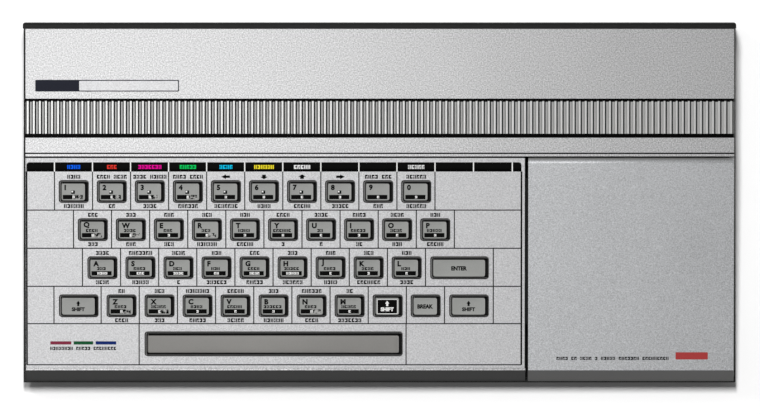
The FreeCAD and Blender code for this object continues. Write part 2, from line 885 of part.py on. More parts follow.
def key_frame():
    """Grid with a raised collar round each key, and a skirt that clamps the mat."""
    body = new_body("key_frame")
    place_on_deck(body, ZERO, ZERO)
    frame = rectangle(-S.frame_left, S.frame_right, -S.frame_front, -S.frame_rear)
    pad_up(body, "grid", -frame_under, -S.plate_thickness, frame)
    inside = rectangle(-(S.frame_left - S.frame_skirt), S.frame_right - S.frame_skirt,
                       -(S.frame_front - S.frame_skirt), -(S.frame_rear + S.frame_skirt))
    pad_up(body, "skirt", -mat_top, -frame_under, frame, inside)
    at_every_key(body, "collar", pad_up, -S.plate_thickness, S.collar_rise,
                 ZERO, S.collar_corner)
    for number in range(ROW_COUNT):
        cut_down(body, f"openings_{number}", -frame_under - S.overrun, S.collar_rise + S.overrun,
                 *row_openings(number))


def row_openings(number):
    """The openings inside one row's collars."""
    openings = []
    for spot in all_keys():
        if spot.row == number:
            x = key_x(spot.centre_share)
            y = row_along(number)
            half_x = outline_width(spot.width_share) / 2 - S.collar_wall
            half_y = collar_length_of(spot.name) / 2 - S.collar_wall
            openings.append(rectangle(x - half_x, x + half_x, y - half_y, y + half_y))
    return openings


def key(name, x, along, width, length, rise):
    """A cap with a bevelled top, its stop flange and the stem below."""
    body = new_body("key_" + name)
    place_on_deck(body, x, along)
    half_x = width / 2 - cap_gap_total
    half_y = length / 2 - cap_gap_total
    flange_top = -(frame_under + S.flange_gap)
    flange_under = flange_top - S.flange_thickness
    bevel = S.cap_bevel
    pad_across(body, "cap", -half_x, half_x, [
        (-half_y, flange_top),
        (half_y, flange_top),
        (half_y, rise - bevel),
        (half_y - bevel, rise),
        (bevel - half_y, rise),
        (-half_y, rise - bevel),
    ])
    left_bevel = [(-half_x, rise - bevel), (bevel - half_x, rise), (-half_x, rise)]
    right_bevel = [(half_x, rise - bevel), (half_x, rise), (half_x - bevel, rise)]
    cut_back(body, "end_bevels", -half_y, half_y, left_bevel, right_bevel)
    reach_x = width / 2 - S.collar_wall + S.flange_reach
    reach_y = length / 2 - S.collar_wall + S.flange_reach
    pad_up(body, "flange", flange_under, flange_top, rectangle(-reach_x, reach_x, -reach_y, reach_y))
    half_stem = S.stem_width / 2
    dome_tip = mat_top - S.dome_height
    pad_up(body, "stem", -(dome_tip - S.dome_gap), flange_under,
           rectangle(-half_stem, half_stem, -half_stem, half_stem))


def keys():
    for spot in all_keys():
        rise = S.bar_rise if spot.name == "space" else S.cap_rise
        key(spot.name, key_x(spot.centre_share), row_along(spot.row),
            outline_width(spot.width_share), collar_length_of(spot.name), rise)


def dome_mat():
    """Rubber sheet with a dome under each key."""
    body = new_body("dome_mat")
    place_on_deck(body, ZERO, ZERO)
    pad_up(body, "sheet", -mat_under, -mat_top, sheet_outline())
    low = -mat_top
    high = low + S.dome_height
    foot = S.dome_base / 2
    tip = S.dome_top / 2
    for number in range(ROW_COUNT):
        row = sorted((spot for spot in all_keys() if spot.row == number),
                     key=lambda spot: spot.centre_share)
        centres = [key_x(spot.centre_share) for spot in row]
        y = row_along(number)
        left = centres[0] - foot
        right = centres[-1] + foot
        pad_across(body, f"ridge_{number}", left, right, [
            (y - foot, low), (y + foot, low), (y + tip, high), (y - tip, high)])
        gaps = [[(left, low), (centres[0] - tip, high), (left, high)],
                [(right, low), (right, high), (centres[-1] + tip, high)]]
        for x, after in zip(centres, centres[1:]):
            gaps.append([(x + foot, low), (after - foot, low), (after - tip, high), (x + tip, high)])
        cut_back(body, f"valleys_{number}", y - foot, y + foot, *gaps)


def sheet_outline():
    return rectangle(-S.frame_left, S.frame_right, -S.frame_front, -S.frame_rear)


def keyboard_sheets():
    membrane = new_body("keyboard_membrane")
    place_on_deck(membrane, ZERO, ZERO)
    pad_up(membrane, "sheet", -membrane_under, -mat_under, sheet_outline())
    backplate = new_body("keyboard_backplate")
    place_on_deck(backplate, ZERO, ZERO)
    pad_up(backplate, "plate", -(membrane_under + S.backplate_thickness), -membrane_under,
           sheet_outline())


# Cartridge bay and its door

def pivot_point():
    return deck_point(-S.pivot_setback, -S.pivot_depth)


def cartridge_bay():
    """Black tub that hangs under the deck and carries the door's two pivots."""
    body = new_body("cartridge_bay")
    left = S.bay_left
    front_low = front_point(S.parting_height, door_seat)[0] + S.door_seat_gap
    rim_drop = -(door_seat + S.door_seat_gap / 2)
    front_rim = deck_point(-(deck_length - door_seat * 2), rim_drop)
    rear_rim = deck_point(-S.door_seat_gap, rim_drop)
    trough_floor = S.bay_trough_floor
    pad_across(body, "tub", left, bay_right, [
        (front_low, S.bay_floor),
        (S.bay_rear, S.bay_floor),
        (S.bay_rear, trough_floor),
        (S.bay_trough_rear, trough_floor),
        (S.bay_trough_rear, deck_under),
        (S.deck_rear, deck_under),
        rear_rim,
        front_rim,
        (front_low, S.parting_height),
    ])
    wall = S.bay_wall
    inner_rim = deck_point(-(deck_length - door_seat * 2), S.overrun)
    cut_across(body, "well", left + wall, bay_right - wall, [
        (front_low + wall, S.bay_floor + wall),
        (S.bay_rear - wall, S.bay_floor + wall),
        (S.bay_rear - wall, S.case_height + S.overrun),
        (inner_rim[0] + wall, inner_rim[1]),
        (front_rim[0] + wall, front_rim[1]),
        (front_low + wall, S.parting_height),
    ])
    pivot_y, pivot_z = pivot_point()
    cut_across(body, "hinge_trough", left - S.overrun, bay_right + S.overrun,
               Circle(pivot_y, pivot_z, barrel_radius + S.barrel_clearance))
    web = nose_web(pivot_y, pivot_z)
    for name, x0, x1 in (("left", left, left + wall), ("right", bay_right - wall, bay_right)):
        pad_across(body, name + "_web", x0, x1, web)
        pad_across(body, name + "_nose", x0, x1, Circle(pivot_y, pivot_z, S.nose_radius))
    pin = Circle(pivot_y, pivot_z, S.pivot_pin)
    pad_across(body, "left_pin", left + wall / 2, left + wall + S.pivot_pin_length, pin)
    pad_across(body, "right_pin", bay_right - wall - S.pivot_pin_length, bay_right - wall / 2, pin)
    lap = S.plate_right - S.bay_flange_lap
    flange_top = -sloped_wall
    flange_under = flange_top - S.bay_flange_thickness
    pad_across(body, "side_flange", lap, left + wall / 2, [
        deck_point(-(deck_length - S.bay_flange_end * 2), flange_under),
        deck_point(-S.bay_flange_end, flange_under),
        deck_point(-S.bay_flange_end, flange_top),
        deck_point(-(deck_length - S.bay_flange_end * 2), flange_top),
    ])


def nose_web(y, z):
    """Arm from the wall below and in front of the pivot, up to the pivot's nose."""
    angle = S.nose_web_angle
    run_y = -cosine(angle)
    run_z = -sine(angle)
    half = S.nose_web / 2
    reach = S.nose_web_reach
    side_y = -run_z * half
    side_z = run_y * half
    end_y = y + run_y * reach
    end_z = z + run_z * reach
    return [
        (y - side_y, z - side_z),
        (end_y - side_y, end_z - side_z),
        (end_y + side_y, end_z + side_z),
        (y + side_y, z + side_z),
    ]


def cartridge_door():
    """Lid with a lip over the front bevel and a barrel along its rear edge."""
    body = new_body("cartridge_door")
    place_on_deck(body, ZERO, ZERO)
    right = top_half_width
    front = -deck_length
    setback = -S.pivot_setback
    pad_across(body, "lid", door_left, right, rectangle(
        front, setback, -S.door_thickness, ZERO))
    lip_angle = front_angle - tilt
    fall = (front_edge_height - S.parting_height) / sine(front_angle) - S.door_lip_gap
    foot_y = front - fall * cosine(lip_angle)
    foot_z = -(fall * sine(lip_angle))
    thick = S.door_thickness
    foot_width = thick / sine(front_angle)
    inner_corner = front + thick * sine(lip_angle) / (cosine(lip_angle) + 1)
    pad_across(body, "lip", door_left, right, [
        (front, ZERO),
        (foot_y, foot_z),
        (foot_y + foot_width * cosine(tilt), foot_z - foot_width * sine(tilt)),
        (inner_corner, -thick),
        (inner_corner, ZERO),
    ])
    pad_across(body, "barrel", door_left, right, Circle(setback, -S.pivot_depth, barrel_radius))
    nose_room = S.nose_radius + S.nose_clearance
    left_end = S.bay_left + S.bay_wall + S.bay_side_gap
    right_end = bay_right - S.bay_wall - S.bay_side_gap
    low = -(S.pivot_depth * 3)
    ends = (("left", door_left - S.overrun, left_end), ("right", right_end, right + S.overrun))
    for name, x0, x1 in ends:
        cut_across(body, name + "_relief", x0, x1, rectangle(
            setback - barrel_radius * 2, ZERO, low, -S.door_thickness))
        cut_across(body, name + "_nose_room", x0, x1,
                   Circle(setback, -S.pivot_depth, nose_room))
    socket = Circle(setback, -S.pivot_depth, S.pivot_pin + S.pin_clearance)
    depth = S.pivot_pin_length + S.bay_side_gap * 2
    cut_across(body, "left_socket", left_end - S.overrun, left_end + depth, socket)
    cut_across(body, "right_socket", right_end - depth, right_end + S.overrun, socket)


def cartridge_connector():
    """Edge socket on the bay's rear wall."""
    body = new_body("cartridge_connector")
    middle = (S.bay_left + bay_right) / 2
    half = S.connector_width / 2
    wall_face = S.bay_rear - S.bay_wall
    low = S.bay_floor + S.bay_wall + S.connector_lift
    pad_back(body, "block", wall_face - S.connector_reach, wall_face, rectangle(
        middle - half, middle + half, low, low + S.connector_height))
    half_slot = S.slot_width / 2
    slot_low = low + (S.connector_height - S.slot_height) / 2
    cut_back(body, "slot", wall_face - S.connector_reach - S.overrun,
             wall_face - S.connector_reach + S.slot_depth, rectangle(
                 middle - half_slot, middle + half_slot, slot_low, slot_low + S.slot_height))


# Board and sockets

def main_board():
    body = new_body("main_board")
    left = -S.board_left
    tongue = -S.tongue_left
    outline = [
        (left, -S.board_front),
        (S.board_bay_side, -S.board_front),
        (S.board_bay_side, S.board_bay_front),
        (S.board_right, S.board_bay_front),
        (S.board_right, S.board_rear),
        (tongue + S.tongue_width, S.board_rear),
        (tongue + S.tongue_width, S.board_rear + S.tongue_reach),
        (tongue, S.board_rear + S.tongue_reach),
        (tongue, S.board_rear),
        (left, S.board_rear),
    ]
    room = (S.post_width + S.boss_size / 2) / 2
    holes = [regular(x, y, room) for x, y in post_places()[1:3]]
    pad_up(body, "board", board_under, board_top, outline, *holes)


def board_parts():
    """Chips, the modulator can and the regulator's heat sink, soldered to the board."""
    chip = S.connector_width * CHIP_LENGTH_SHARE
    blocks = []
    for name, x_share, y_share, width, length, height in BOARD_PART_SHARES:
        x = S.board_left * x_share
        y = S.board_rear * y_share
        half_x = chip * (width / 2)
        half_y = chip * (length / 2)
        block = doc.addObject("Part::Box", name)
        bind(block, "Length", half_x * 2)
        bind(block, "Width", half_y * 2)
        bind(block, "Height", chip * height)
        bind(block, "Placement.Base.x", x - half_x)
        bind(block, "Placement.Base.y", y - half_y)
        bind(block, "Placement.Base.z", board_top)
        blocks.append(block)
    return blocks


def joystick_sockets():
    """Two nine-way sockets: flange on the recess's back, shell out into the recess."""
    pieces = []
    for side, y in ((-1, S.stick_left_place), (1, S.stick_right_place)):
        name = "stick_socket_left" if side < 0 else "stick_socket_right"
        body = new_body(name)
        z = S.stick_height
        back = top_half_width - S.stick_recess - S.recess_back
        face = back - S.stick_flange_thickness
        half_y = S.stick_flange_width / 2
        half_z = S.stick_flange_height / 2
        x0, x1 = across(side, face, back)
        pad_across(body, "flange", x0, x1, rectangle(y - half_y, y + half_y, z - half_z, z + half_z))
        half_y = S.stick_body_width / 2
        half_z = S.stick_body_height / 2
        x0, x1 = across(side, face - S.stick_body_depth, face)
        pad_across(body, "core", x0, x1, rectangle(y - half_y, y + half_y, z - half_z, z + half_z))
        x0, x1 = across(side, back, back + S.shell_reach)
        pad_across(body, "shell", x0, x1, shell_outline(y, z, ZERO))
        x0, x1 = across(side, back, back + S.shell_reach + S.overrun)
        cut_across(body, "mouth", x0, x1, shell_outline(y, z, -S.shell_wall))
        pieces.append(body)
    return pieces


def power_switch():
    body = new_body("power_switch_body")
    y = S.switch_place
    z = S.switch_height
    seat = top_half_width - S.switch_recess
    face = seat + S.bezel_thickness
    half_y = S.bezel_width / 2
    half_z = S.bezel_height / 2
    pad_across(body, "bezel", seat, face, rectangle(y - half_y, y + half_y, z - half_z, z + half_z))
    half_y = S.switch_body_width / 2
    half_z = S.switch_body_height / 2
    pad_across(body, "box", seat - S.switch_body_depth, seat, rectangle(
        y - half_y, y + half_y, z - half_z, z + half_z))
    half_y = S.cavity_width / 2
    half_z = S.cavity_height / 2
    cut_across(body, "cavity", face - S.cavity_depth, face + S.overrun, rectangle(
        y - half_y, y + half_y, z - half_z, z + half_z))
    pivot_x = face - S.rocker_depth
    reach = S.rocker_width / 2 + S.trunnion_length + S.pin_clearance * 2
    pad_hole = Circle(pivot_x, y, S.trunnion_radius + S.pin_clearance)
    cut_down(body, "trunnion_bore", z - reach, z + reach, pad_hole)

    rocker = new_body("power_rocker")
    place(rocker, pivot_x, y, z, -S.rocker_angle, Vector(0, 0, 1))
    half_length = S.rocker_length / 2
    half = S.rocker_width / 2
    pad_up(rocker, "paddle", -half, half, [
        (-S.rocker_back, -half_length),
        (S.rocker_peak, -half_length),
        (S.rocker_dip, ZERO),
        (S.rocker_peak, half_length),
        (-S.rocker_back, half_length),
    ])
    reach = half + S.trunnion_length
    pad_up(rocker, "trunnions", -reach, reach, Circle(ZERO, ZERO, S.trunnion_radius))


def rear_sockets():
    """Blocks on the board behind the rear wall, with their noses in its holes."""
    z = S.socket_height
    outer = half_depth - S.socket_inset
    inner_wall = half_depth - S.rear_wall - S.block_wall_gap
    pieces = []
    half = S.jack_block_width / 2
    top = z + half
    jacks = (
        ("ear", S.ear_place, S.jack_nose, S.jack_bore_depth, Circle(S.ear_place, z, S.jack_bore)),
        ("mic", S.mic_place, S.jack_nose, S.jack_bore_depth, Circle(S.mic_place, z, S.jack_bore)),
        ("inlet", S.inlet_place, S.inlet_nose, S.inlet_bore_depth,
         regular(S.inlet_place, z, S.inlet_bore)),
    )
    for name, x, nose, depth, bore in jacks:
        body = new_body("socket_" + name)
        front = outer - depth - S.wall
        pad_back(body, "block", front, inner_wall, rectangle(x - half, x + half, board_top, top))
        pad_back(body, "nose", front + S.wall, outer, regular(x, z, nose))
        cut_back(body, "bore", outer - depth, outer + S.overrun, bore)
        if name == "inlet":
            pad_back(body, "pin", outer - depth - S.wall / 2, outer - S.wall,
                     regular(x, z, S.inlet_pin))
        pieces.append(body)
    half = S.phono_block_width / 2
    for name, x in (("monitor", S.monitor_place), ("aerial", S.aerial_place)):
        body = new_body("socket_" + name)
        face = outer - S.phono_shell_length
        pad_back(body, "block", face - S.phono_block_depth, face, rectangle(
            x - half, x + half, board_top, z + half))
        pad_back(body, "shell", face - S.wall, outer, Circle(x, z, S.phono_shell))
        cut_back(body, "bore", face, outer + S.overrun, regular(x, z, S.phono_bore))
        pieces.append(body)
    return pieces


# Feet and screws

def rubber_feet():
    pieces = []
    for side in (-1, 1):
        for end in (-1, 1):
            foot = doc.addObject("Part::Prism", "foot")
            foot.Polygon = FOOT_SIDES
            bind(foot, "Circumradius", S.foot_diameter / 2)
            bind(foot, "Height", S.foot_height)
            bind(foot, "Placement.Base.x", (half_width - S.foot_inset) * side)
            bind(foot, "Placement.Base.y", (half_depth - S.foot_inset) * end)
            pieces.append(foot)
    return pieces


def case_screws():
    pieces = []
    seat = S.foot_height + S.screw_sink
    for x, y in post_places():
        body = new_body("screw")
        pad_up(body, "head", seat - S.screw_head_height, seat, regular(x, y, S.screw_head))
        pad_up(body, "shank", seat, seat + S.screw_length, regular(x, y, S.screw_shank))
        pieces.append(body)
    return pieces


def group(label, pieces):
    """Identical or soldered-on pieces that share a file, each its own solid."""
    compound = doc.addObject("Part::Compound", label)
    compound.Label = label
    compound.Links = pieces
    return compound


# A regular octagon's cut corner as a share of its width
OCTAGON_SHARE = 1 / (2 + math.sqrt(2))
# The widest chip's length as a share of the cartridge connector's width
CHIP_LENGTH_SHARE = 0.74
VENT_COUNT = 16
ROW_COUNT = 5
FOOT_SIDES = 8

bottom_case()
top_case()
keyboard_faceplate()
key_frame()
keys()
dome_mat()
keyboard_sheets()
cartridge_bay()
cartridge_door()
cartridge_connector()
main_board()
power_switch()
group("board_parts", board_parts())
group("joystick_sockets", joystick_sockets())
group("rear_sockets", rear_sockets())
group("rubber_feet", rubber_feet())
group("case_screws", case_screws())
for thing in doc.Objects:
    if thing.TypeId == "PartDesign::Body":
        thing.Tip.Refine = True
doc.recompute()

faults = [thing.Label for thing in doc.Objects if {"Invalid", "Error"} & set(thing.State)]
if faults:
    raise SystemExit("failed: " + ", ".join(faults))

inside_groups = {piece.Name for thing in doc.Objects
                 if thing.TypeId == "Part::Compound" for piece in thing.Links}
nodes = [thing for thing in doc.Objects
         if thing.TypeId in ("PartDesign::Body", "Part::Compound")
         and thing.Name not in inside_groups]
for node in nodes:
    if node.Shape.isNull() or not node.Shape.isValid():
        raise SystemExit("bad shape: " + node.Label)
    if node.TypeId == "PartDesign::Body" and len(node.Shape.Solids) != 1:
        raise SystemExit(f"{node.Label} is {len(node.Shape.Solids)} solids")

os.makedirs("parts", exist_ok=True)
for node in nodes:
    node.Shape.exportStep(f"parts/{node.Label}.step")
print(len(nodes), "nodes")
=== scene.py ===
import math

import bmesh
import bpy
from mathutils import Matrix, Vector


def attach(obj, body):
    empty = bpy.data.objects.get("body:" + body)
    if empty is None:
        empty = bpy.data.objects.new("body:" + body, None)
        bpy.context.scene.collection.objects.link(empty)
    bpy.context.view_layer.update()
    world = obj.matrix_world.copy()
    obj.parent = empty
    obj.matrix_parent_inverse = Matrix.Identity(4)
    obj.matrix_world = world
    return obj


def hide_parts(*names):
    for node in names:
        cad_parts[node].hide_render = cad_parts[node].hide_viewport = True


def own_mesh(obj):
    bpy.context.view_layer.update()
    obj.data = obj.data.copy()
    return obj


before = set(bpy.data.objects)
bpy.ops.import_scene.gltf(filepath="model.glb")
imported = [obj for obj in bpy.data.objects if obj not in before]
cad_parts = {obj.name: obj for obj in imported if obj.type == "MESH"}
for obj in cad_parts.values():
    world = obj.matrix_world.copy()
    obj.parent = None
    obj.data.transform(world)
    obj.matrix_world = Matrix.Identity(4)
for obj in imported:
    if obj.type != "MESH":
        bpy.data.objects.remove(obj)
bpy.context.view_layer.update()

# A silver and black home computer of the 1980s, seen from straight above. Shapes are drawn
# in millimetres and put into the row frame, in metres, by one of the two places below.
MM = 0.001
CASE_HEIGHT = 44.0
DECK_REAR = 24.0
DECK_RUN = 112.4
DECK_FALL = 16.5
TILT = math.atan2(DECK_FALL, DECK_RUN)
LEVEL = Matrix.Scale(MM, 4)
DECK = LEVEL @ Matrix.Translation((0, DECK_REAR, CASE_HEIGHT)) @ Matrix.Rotation(TILT, 4, "X")

# The photograph's millimetres per pixel, the pixel over the middle of the case, and its size
PIXEL = 0.5268
MIDDLE_X = 379.5
MIDDLE_Y = 202.6
PHOTO_WIDTH = 760
PHOTO_HEIGHT = 414
CAMERA_HEIGHT = 10.0


def across(px):
    """Millimetres to the right of the middle, from a pixel column."""
    return (px - MIDDLE_X) * PIXEL


def behind(py):
    """Millimetres behind the middle, from a pixel row."""
    return (MIDDLE_Y - py) * PIXEL


def along(py):
    """Millimetres up the sloping deck from its rear edge, from a pixel row."""
    return (behind(py) - DECK_REAR) / math.cos(TILT)


# Finishes

def group_socket(tree, name, way, kind, value=None):
    socket = tree.interface.new_socket(name=name, in_out=way, socket_type=kind)
    if value is not None:
        socket.default_value = value


def add(tree, kind, **settings):
    node = tree.nodes.new(kind)
    for name, value in settings.items():
        if name in node.inputs.keys():
            node.inputs[name].default_value = value
        else:
            setattr(node, name, value)
    return node


def math_node(tree, operation, *values):
    node = tree.nodes.new("ShaderNodeMath")
    node.operation = operation
    for number, value in enumerate(values):
        if isinstance(value, (int, float)):
            node.inputs[number].default_value = value
        else:
            tree.links.new(value, node.inputs[number])
    return node.outputs[0]


def build_grain():
    """Fine moulded grain or metal flake: a varied colour, a roughness and a normal."""
    tree = bpy.data.node_groups.new("Grain", "ShaderNodeTree")
    group_socket(tree, "Colour", "INPUT", "NodeSocketColor", (0.5, 0.5, 0.5, 1))
    group_socket(tree, "Flake Scale", "INPUT", "NodeSocketFloat", 1800.0)
    group_socket(tree, "Flake Amount", "INPUT", "NodeSocketFloat", 0.1)
    group_socket(tree, "Cloud Amount", "INPUT", "NodeSocketFloat", 0.04)
    group_socket(tree, "Roughness", "INPUT", "NodeSocketFloat", 0.5)
    group_socket(tree, "Depth", "INPUT", "NodeSocketFloat", 0.2)
    group_socket(tree, "Colour", "OUTPUT", "NodeSocketColor")
    group_socket(tree, "Roughness", "OUTPUT", "NodeSocketFloat")
    group_socket(tree, "Normal", "OUTPUT", "NodeSocketVector")
    link = tree.links.new
    given = tree.nodes.new("NodeGroupInput")
    out = tree.nodes.new("NodeGroupOutput")
    place = tree.nodes.new("ShaderNodeTexCoord")
    flake = add(tree, "ShaderNodeTexNoise", Detail=2.0, Roughness=0.6)
    cloud = add(tree, "ShaderNodeTexNoise", Scale=22.0, Detail=4.0, Roughness=0.55)
    link(place.outputs["Object"], flake.inputs["Vector"])
    link(place.outputs["Object"], cloud.inputs["Vector"])
    link(given.outputs["Flake Scale"], flake.inputs["Scale"])
    flake_shift = math_node(tree, "SUBTRACT", flake.outputs["Fac"], 0.5)
    cloud_shift = math_node(tree, "SUBTRACT", cloud.outputs["Fac"], 0.5)
    flake_part = math_node(tree, "MULTIPLY", flake_shift, given.outputs["Flake Amount"])
    cloud_part = math_node(tree, "MULTIPLY", cloud_shift, given.outputs["Cloud Amount"])
    both = math_node(tree, "ADD", flake_part, cloud_part)
    factor = math_node(tree, "ADD", math_node(tree, "MULTIPLY", both, 2.0), 1.0)
    tone = tree.nodes.new("ShaderNodeVectorMath")
    tone.operation = "SCALE"
    link(given.outputs["Colour"], tone.inputs[0])
    link(factor, tone.inputs["Scale"])
    link(tone.outputs[0], out.inputs["Colour"])
    rough = math_node(tree, "ADD", given.outputs["Roughness"], cloud_part)
    link(rough, out.inputs["Roughness"])
    bump = add(tree, "ShaderNodeBump", Distance=0.0001)
    link(flake.outputs["Fac"], bump.inputs["Height"])
    link(given.outputs["Depth"], bump.inputs["Strength"])
    link(bump.outputs["Normal"], out.inputs["Normal"])
    return tree


GRAIN = build_grain()


def finish(name, colour, roughness, flake=0.06, cloud=0.04, scale=1800.0, depth=0.15, metal=0.0,
           coat=0.0, shine=0.5):
    """A material whose colour, roughness and relief come from the grain group."""
    made = bpy.data.materials.new(name)
    made.use_nodes = True
    tree = made.node_tree
    shader = tree.nodes["Principled BSDF"]
    grain = tree.nodes.new("ShaderNodeGroup")
    grain.node_tree = GRAIN
    grain.inputs["Colour"].default_value = (*colour, 1)
    grain.inputs["Flake Scale"].default_value = scale
    grain.inputs["Flake Amount"].default_value = flake
    grain.inputs["Cloud Amount"].default_value = cloud
    grain.inputs["Roughness"].default_value = roughness
    grain.inputs["Depth"].default_value = depth
    tree.links.new(grain.outputs["Colour"], shader.inputs["Base Color"])
    tree.links.new(grain.outputs["Roughness"], shader.inputs["Roughness"])
    tree.links.new(grain.outputs["Normal"], shader.inputs["Normal"])
    shader.inputs["Metallic"].default_value = metal
    shader.inputs["Coat Weight"].default_value = coat
    shader.inputs["Specular IOR Level"].default_value = shine
    return made


# Edges of the places in the silver shell that get painted shade or painted light, and of the darker
# front bevel, in millimetres
BAND_REAR = 54.8
BAND_FRONT = 34.7
RIB_REAR = 53.1
RIB_FRONT = 36.3
RIB_PITCH = 3.195
RIB_BASE = 1.5
CREASE = 0.5
GROOVE = 25.95
HAIRLINE = 0.36
SIDE_EDGE = 186.6
LEFT_RIM = 186.5
RIGHT_RIM = 186.75
SIDE_WALL = 186.98
RECESS_INNER = 160.0
RECESS_TOP = 39.7
PLATE_END = 76.55
PLATE_REAR = 23.45
DOOR_START = 78.4
DOOR_REAR = 22.7
FRONT_EDGE = -88.4
FRONT_BEVEL = -88.46
SHELL_TOP = 42.3
RIB_SIDES_TOP = 43.75
VALLEY_TOP = 42.8
SUNK_BY = 0.12
FADE_START = -20.0


def build_recesses():
    """Masks, from the place in the case, mostly for what lies below the top of the silver shell:
    where it gets painted shade or painted light, and the front bevel.
    """
    tree = bpy.data.node_groups.new("Recesses", "ShaderNodeTree")
    for name in ("Crests", "Ribs", "Valleys", "Shoulders", "Far Ribs", "Creases", "Gaps", "Front",
                 "Left Rim", "Right Rim", "Left Wall", "Plate Edge", "Plate Rear", "Door Edge",
                 "Door Rear"):
        group_socket(tree, name, "OUTPUT", "NodeSocketFloat")
    out = tree.nodes.new("NodeGroupOutput")
    place = tree.nodes.new("ShaderNodeTexCoord")
    scaled = tree.nodes.new("ShaderNodeMapping")
    scaled.inputs["Scale"].default_value = (1 / MM, 1 / MM, 1 / MM)
    parts = tree.nodes.new("ShaderNodeSeparateXYZ")
    tree.links.new(place.outputs["Object"], scaled.inputs["Vector"])
    tree.links.new(scaled.outputs["Vector"], parts.inputs[0])
    x, y, z = (parts.outputs[axis] for axis in "XYZ")

    def both(first, second):
        return math_node(tree, "MULTIPLY", first, second)

    def near(value, centre, reach):
        return math_node(tree, "COMPARE", value, centre, reach)

    high = math_node(tree, "GREATER_THAN", z, SHELL_TOP)
    band = both(high, near(y, (BAND_REAR + BAND_FRONT) / 2, (BAND_REAR - BAND_FRONT) / 2))
    ribbed = near(y, (RIB_REAR + RIB_FRONT) / 2, (RIB_REAR - RIB_FRONT) / 2)
    unribbed = math_node(tree, "SUBTRACT", 1.0, ribbed)
    low = both(band, math_node(tree, "LESS_THAN", z, RIB_SIDES_TOP))
    rim_line = both(high, near(y, BAND_FRONT - HAIRLINE / 2, HAIRLINE))
    floor = math_node(tree, "LESS_THAN", z, VALLEY_TOP)
    # On the rib band: a painted highlight on the crests, painted shade on the flanks and valley
    # floors, a painted shadow crease beside each rib and a painted shade shoulder before the next
    # rib
    ribs = both(low, ribbed)
    tree.links.new(ribs, out.inputs["Ribs"])
    valleys = both(ribs, floor)
    tree.links.new(valleys, out.inputs["Valleys"])
    tree.links.new(band, out.inputs["Crests"])
    phase = math_node(tree, "FRACT", math_node(tree, "DIVIDE", x, RIB_PITCH))
    crease = (RIB_BASE / 2 + CREASE / 2) / RIB_PITCH
    tree.links.new(both(valleys, near(phase, crease, CREASE / 2 / RIB_PITCH)),
                   out.inputs["Creases"])
    tree.links.new(both(valleys, near(phase, 1 - crease, CREASE / 2 / RIB_PITCH)),
                   out.inputs["Shoulders"])
    # Grooves, hairlines, the rim line, the channels at the ends of the ribs and places sunk under
    # the deck: painted shade, near black
    groove = math_node(tree, "MAXIMUM", near(y, GROOVE, HAIRLINE), near(y, DECK_REAR, HAIRLINE))
    groove = both(high, groove)
    down = math_node(tree, "SUBTRACT", z, CASE_HEIGHT)
    back = math_node(tree, "SUBTRACT", y, DECK_REAR)
    lift = math_node(tree, "SUBTRACT", both(down, math.cos(TILT)), both(back, math.sin(TILT)))
    sunk = both(math_node(tree, "LESS_THAN", lift, -SUNK_BY), near(x, 0.0, SIDE_EDGE))
    on_deck = near(y, (DECK_REAR + FRONT_EDGE) / 2, (DECK_REAR - FRONT_EDGE) / 2 - 0.1)
    gaps = math_node(tree, "MAXIMUM", both(low, unribbed), groove)
    gaps = math_node(tree, "MAXIMUM", gaps, rim_line)
    gaps = math_node(tree, "MAXIMUM", gaps, both(sunk, on_deck))
    tree.links.new(gaps, out.inputs["Gaps"])
    tree.links.new(math_node(tree, "LESS_THAN", y, FRONT_BEVEL), out.inputs["Front"])
    # The painted shade on the ribs turns paler towards the right
    to_right = tree.nodes.new("ShaderNodeMapRange")
    to_right.inputs["From Min"].default_value = FADE_START
    to_right.inputs["From Max"].default_value = SIDE_EDGE
    tree.links.new(x, to_right.inputs["Value"])
    tree.links.new(both(ribs, to_right.outputs[0]), out.inputs["Far Ribs"])
    # The left rim, the left side wall and the recess at the left get painted shade; the right rim a
    # lighter painted shade
    tree.links.new(near(x, -(LEFT_RIM + SIDE_WALL) / 2, (SIDE_WALL - LEFT_RIM) / 2),
                   out.inputs["Left Rim"])
    tree.links.new(near(x, (RIGHT_RIM + SIDE_WALL) / 2, (SIDE_WALL - RIGHT_RIM) / 2),
                   out.inputs["Right Rim"])
    recess = both(math_node(tree, "LESS_THAN", x, -RECESS_INNER),
                  math_node(tree, "LESS_THAN", z, RECESS_TOP))
    recess = both(recess, math_node(tree, "GREATER_THAN", y, DECK_REAR))
    wall = math_node(tree, "LESS_THAN", x, -SIDE_WALL)
    tree.links.new(math_node(tree, "MAXIMUM", wall, recess), out.inputs["Left Wall"])
    # Plate and door edges beside their gap, and the plate's rear edge: painted shade; the door's
    # rear edge: painted light
    tree.links.new(math_node(tree, "GREATER_THAN", x, PLATE_END), out.inputs["Plate Edge"])
    tree.links.new(math_node(tree, "GREATER_THAN", y, PLATE_REAR), out.inputs["Plate Rear"])
    tree.links.new(math_node(tree, "LESS_THAN", x, DOOR_START), out.inputs["Door Edge"])
    tree.links.new(math_node(tree, "GREATER_THAN", y, DOOR_REAR), out.inputs["Door Rear"])
    return tree


RECESSES = build_recesses()


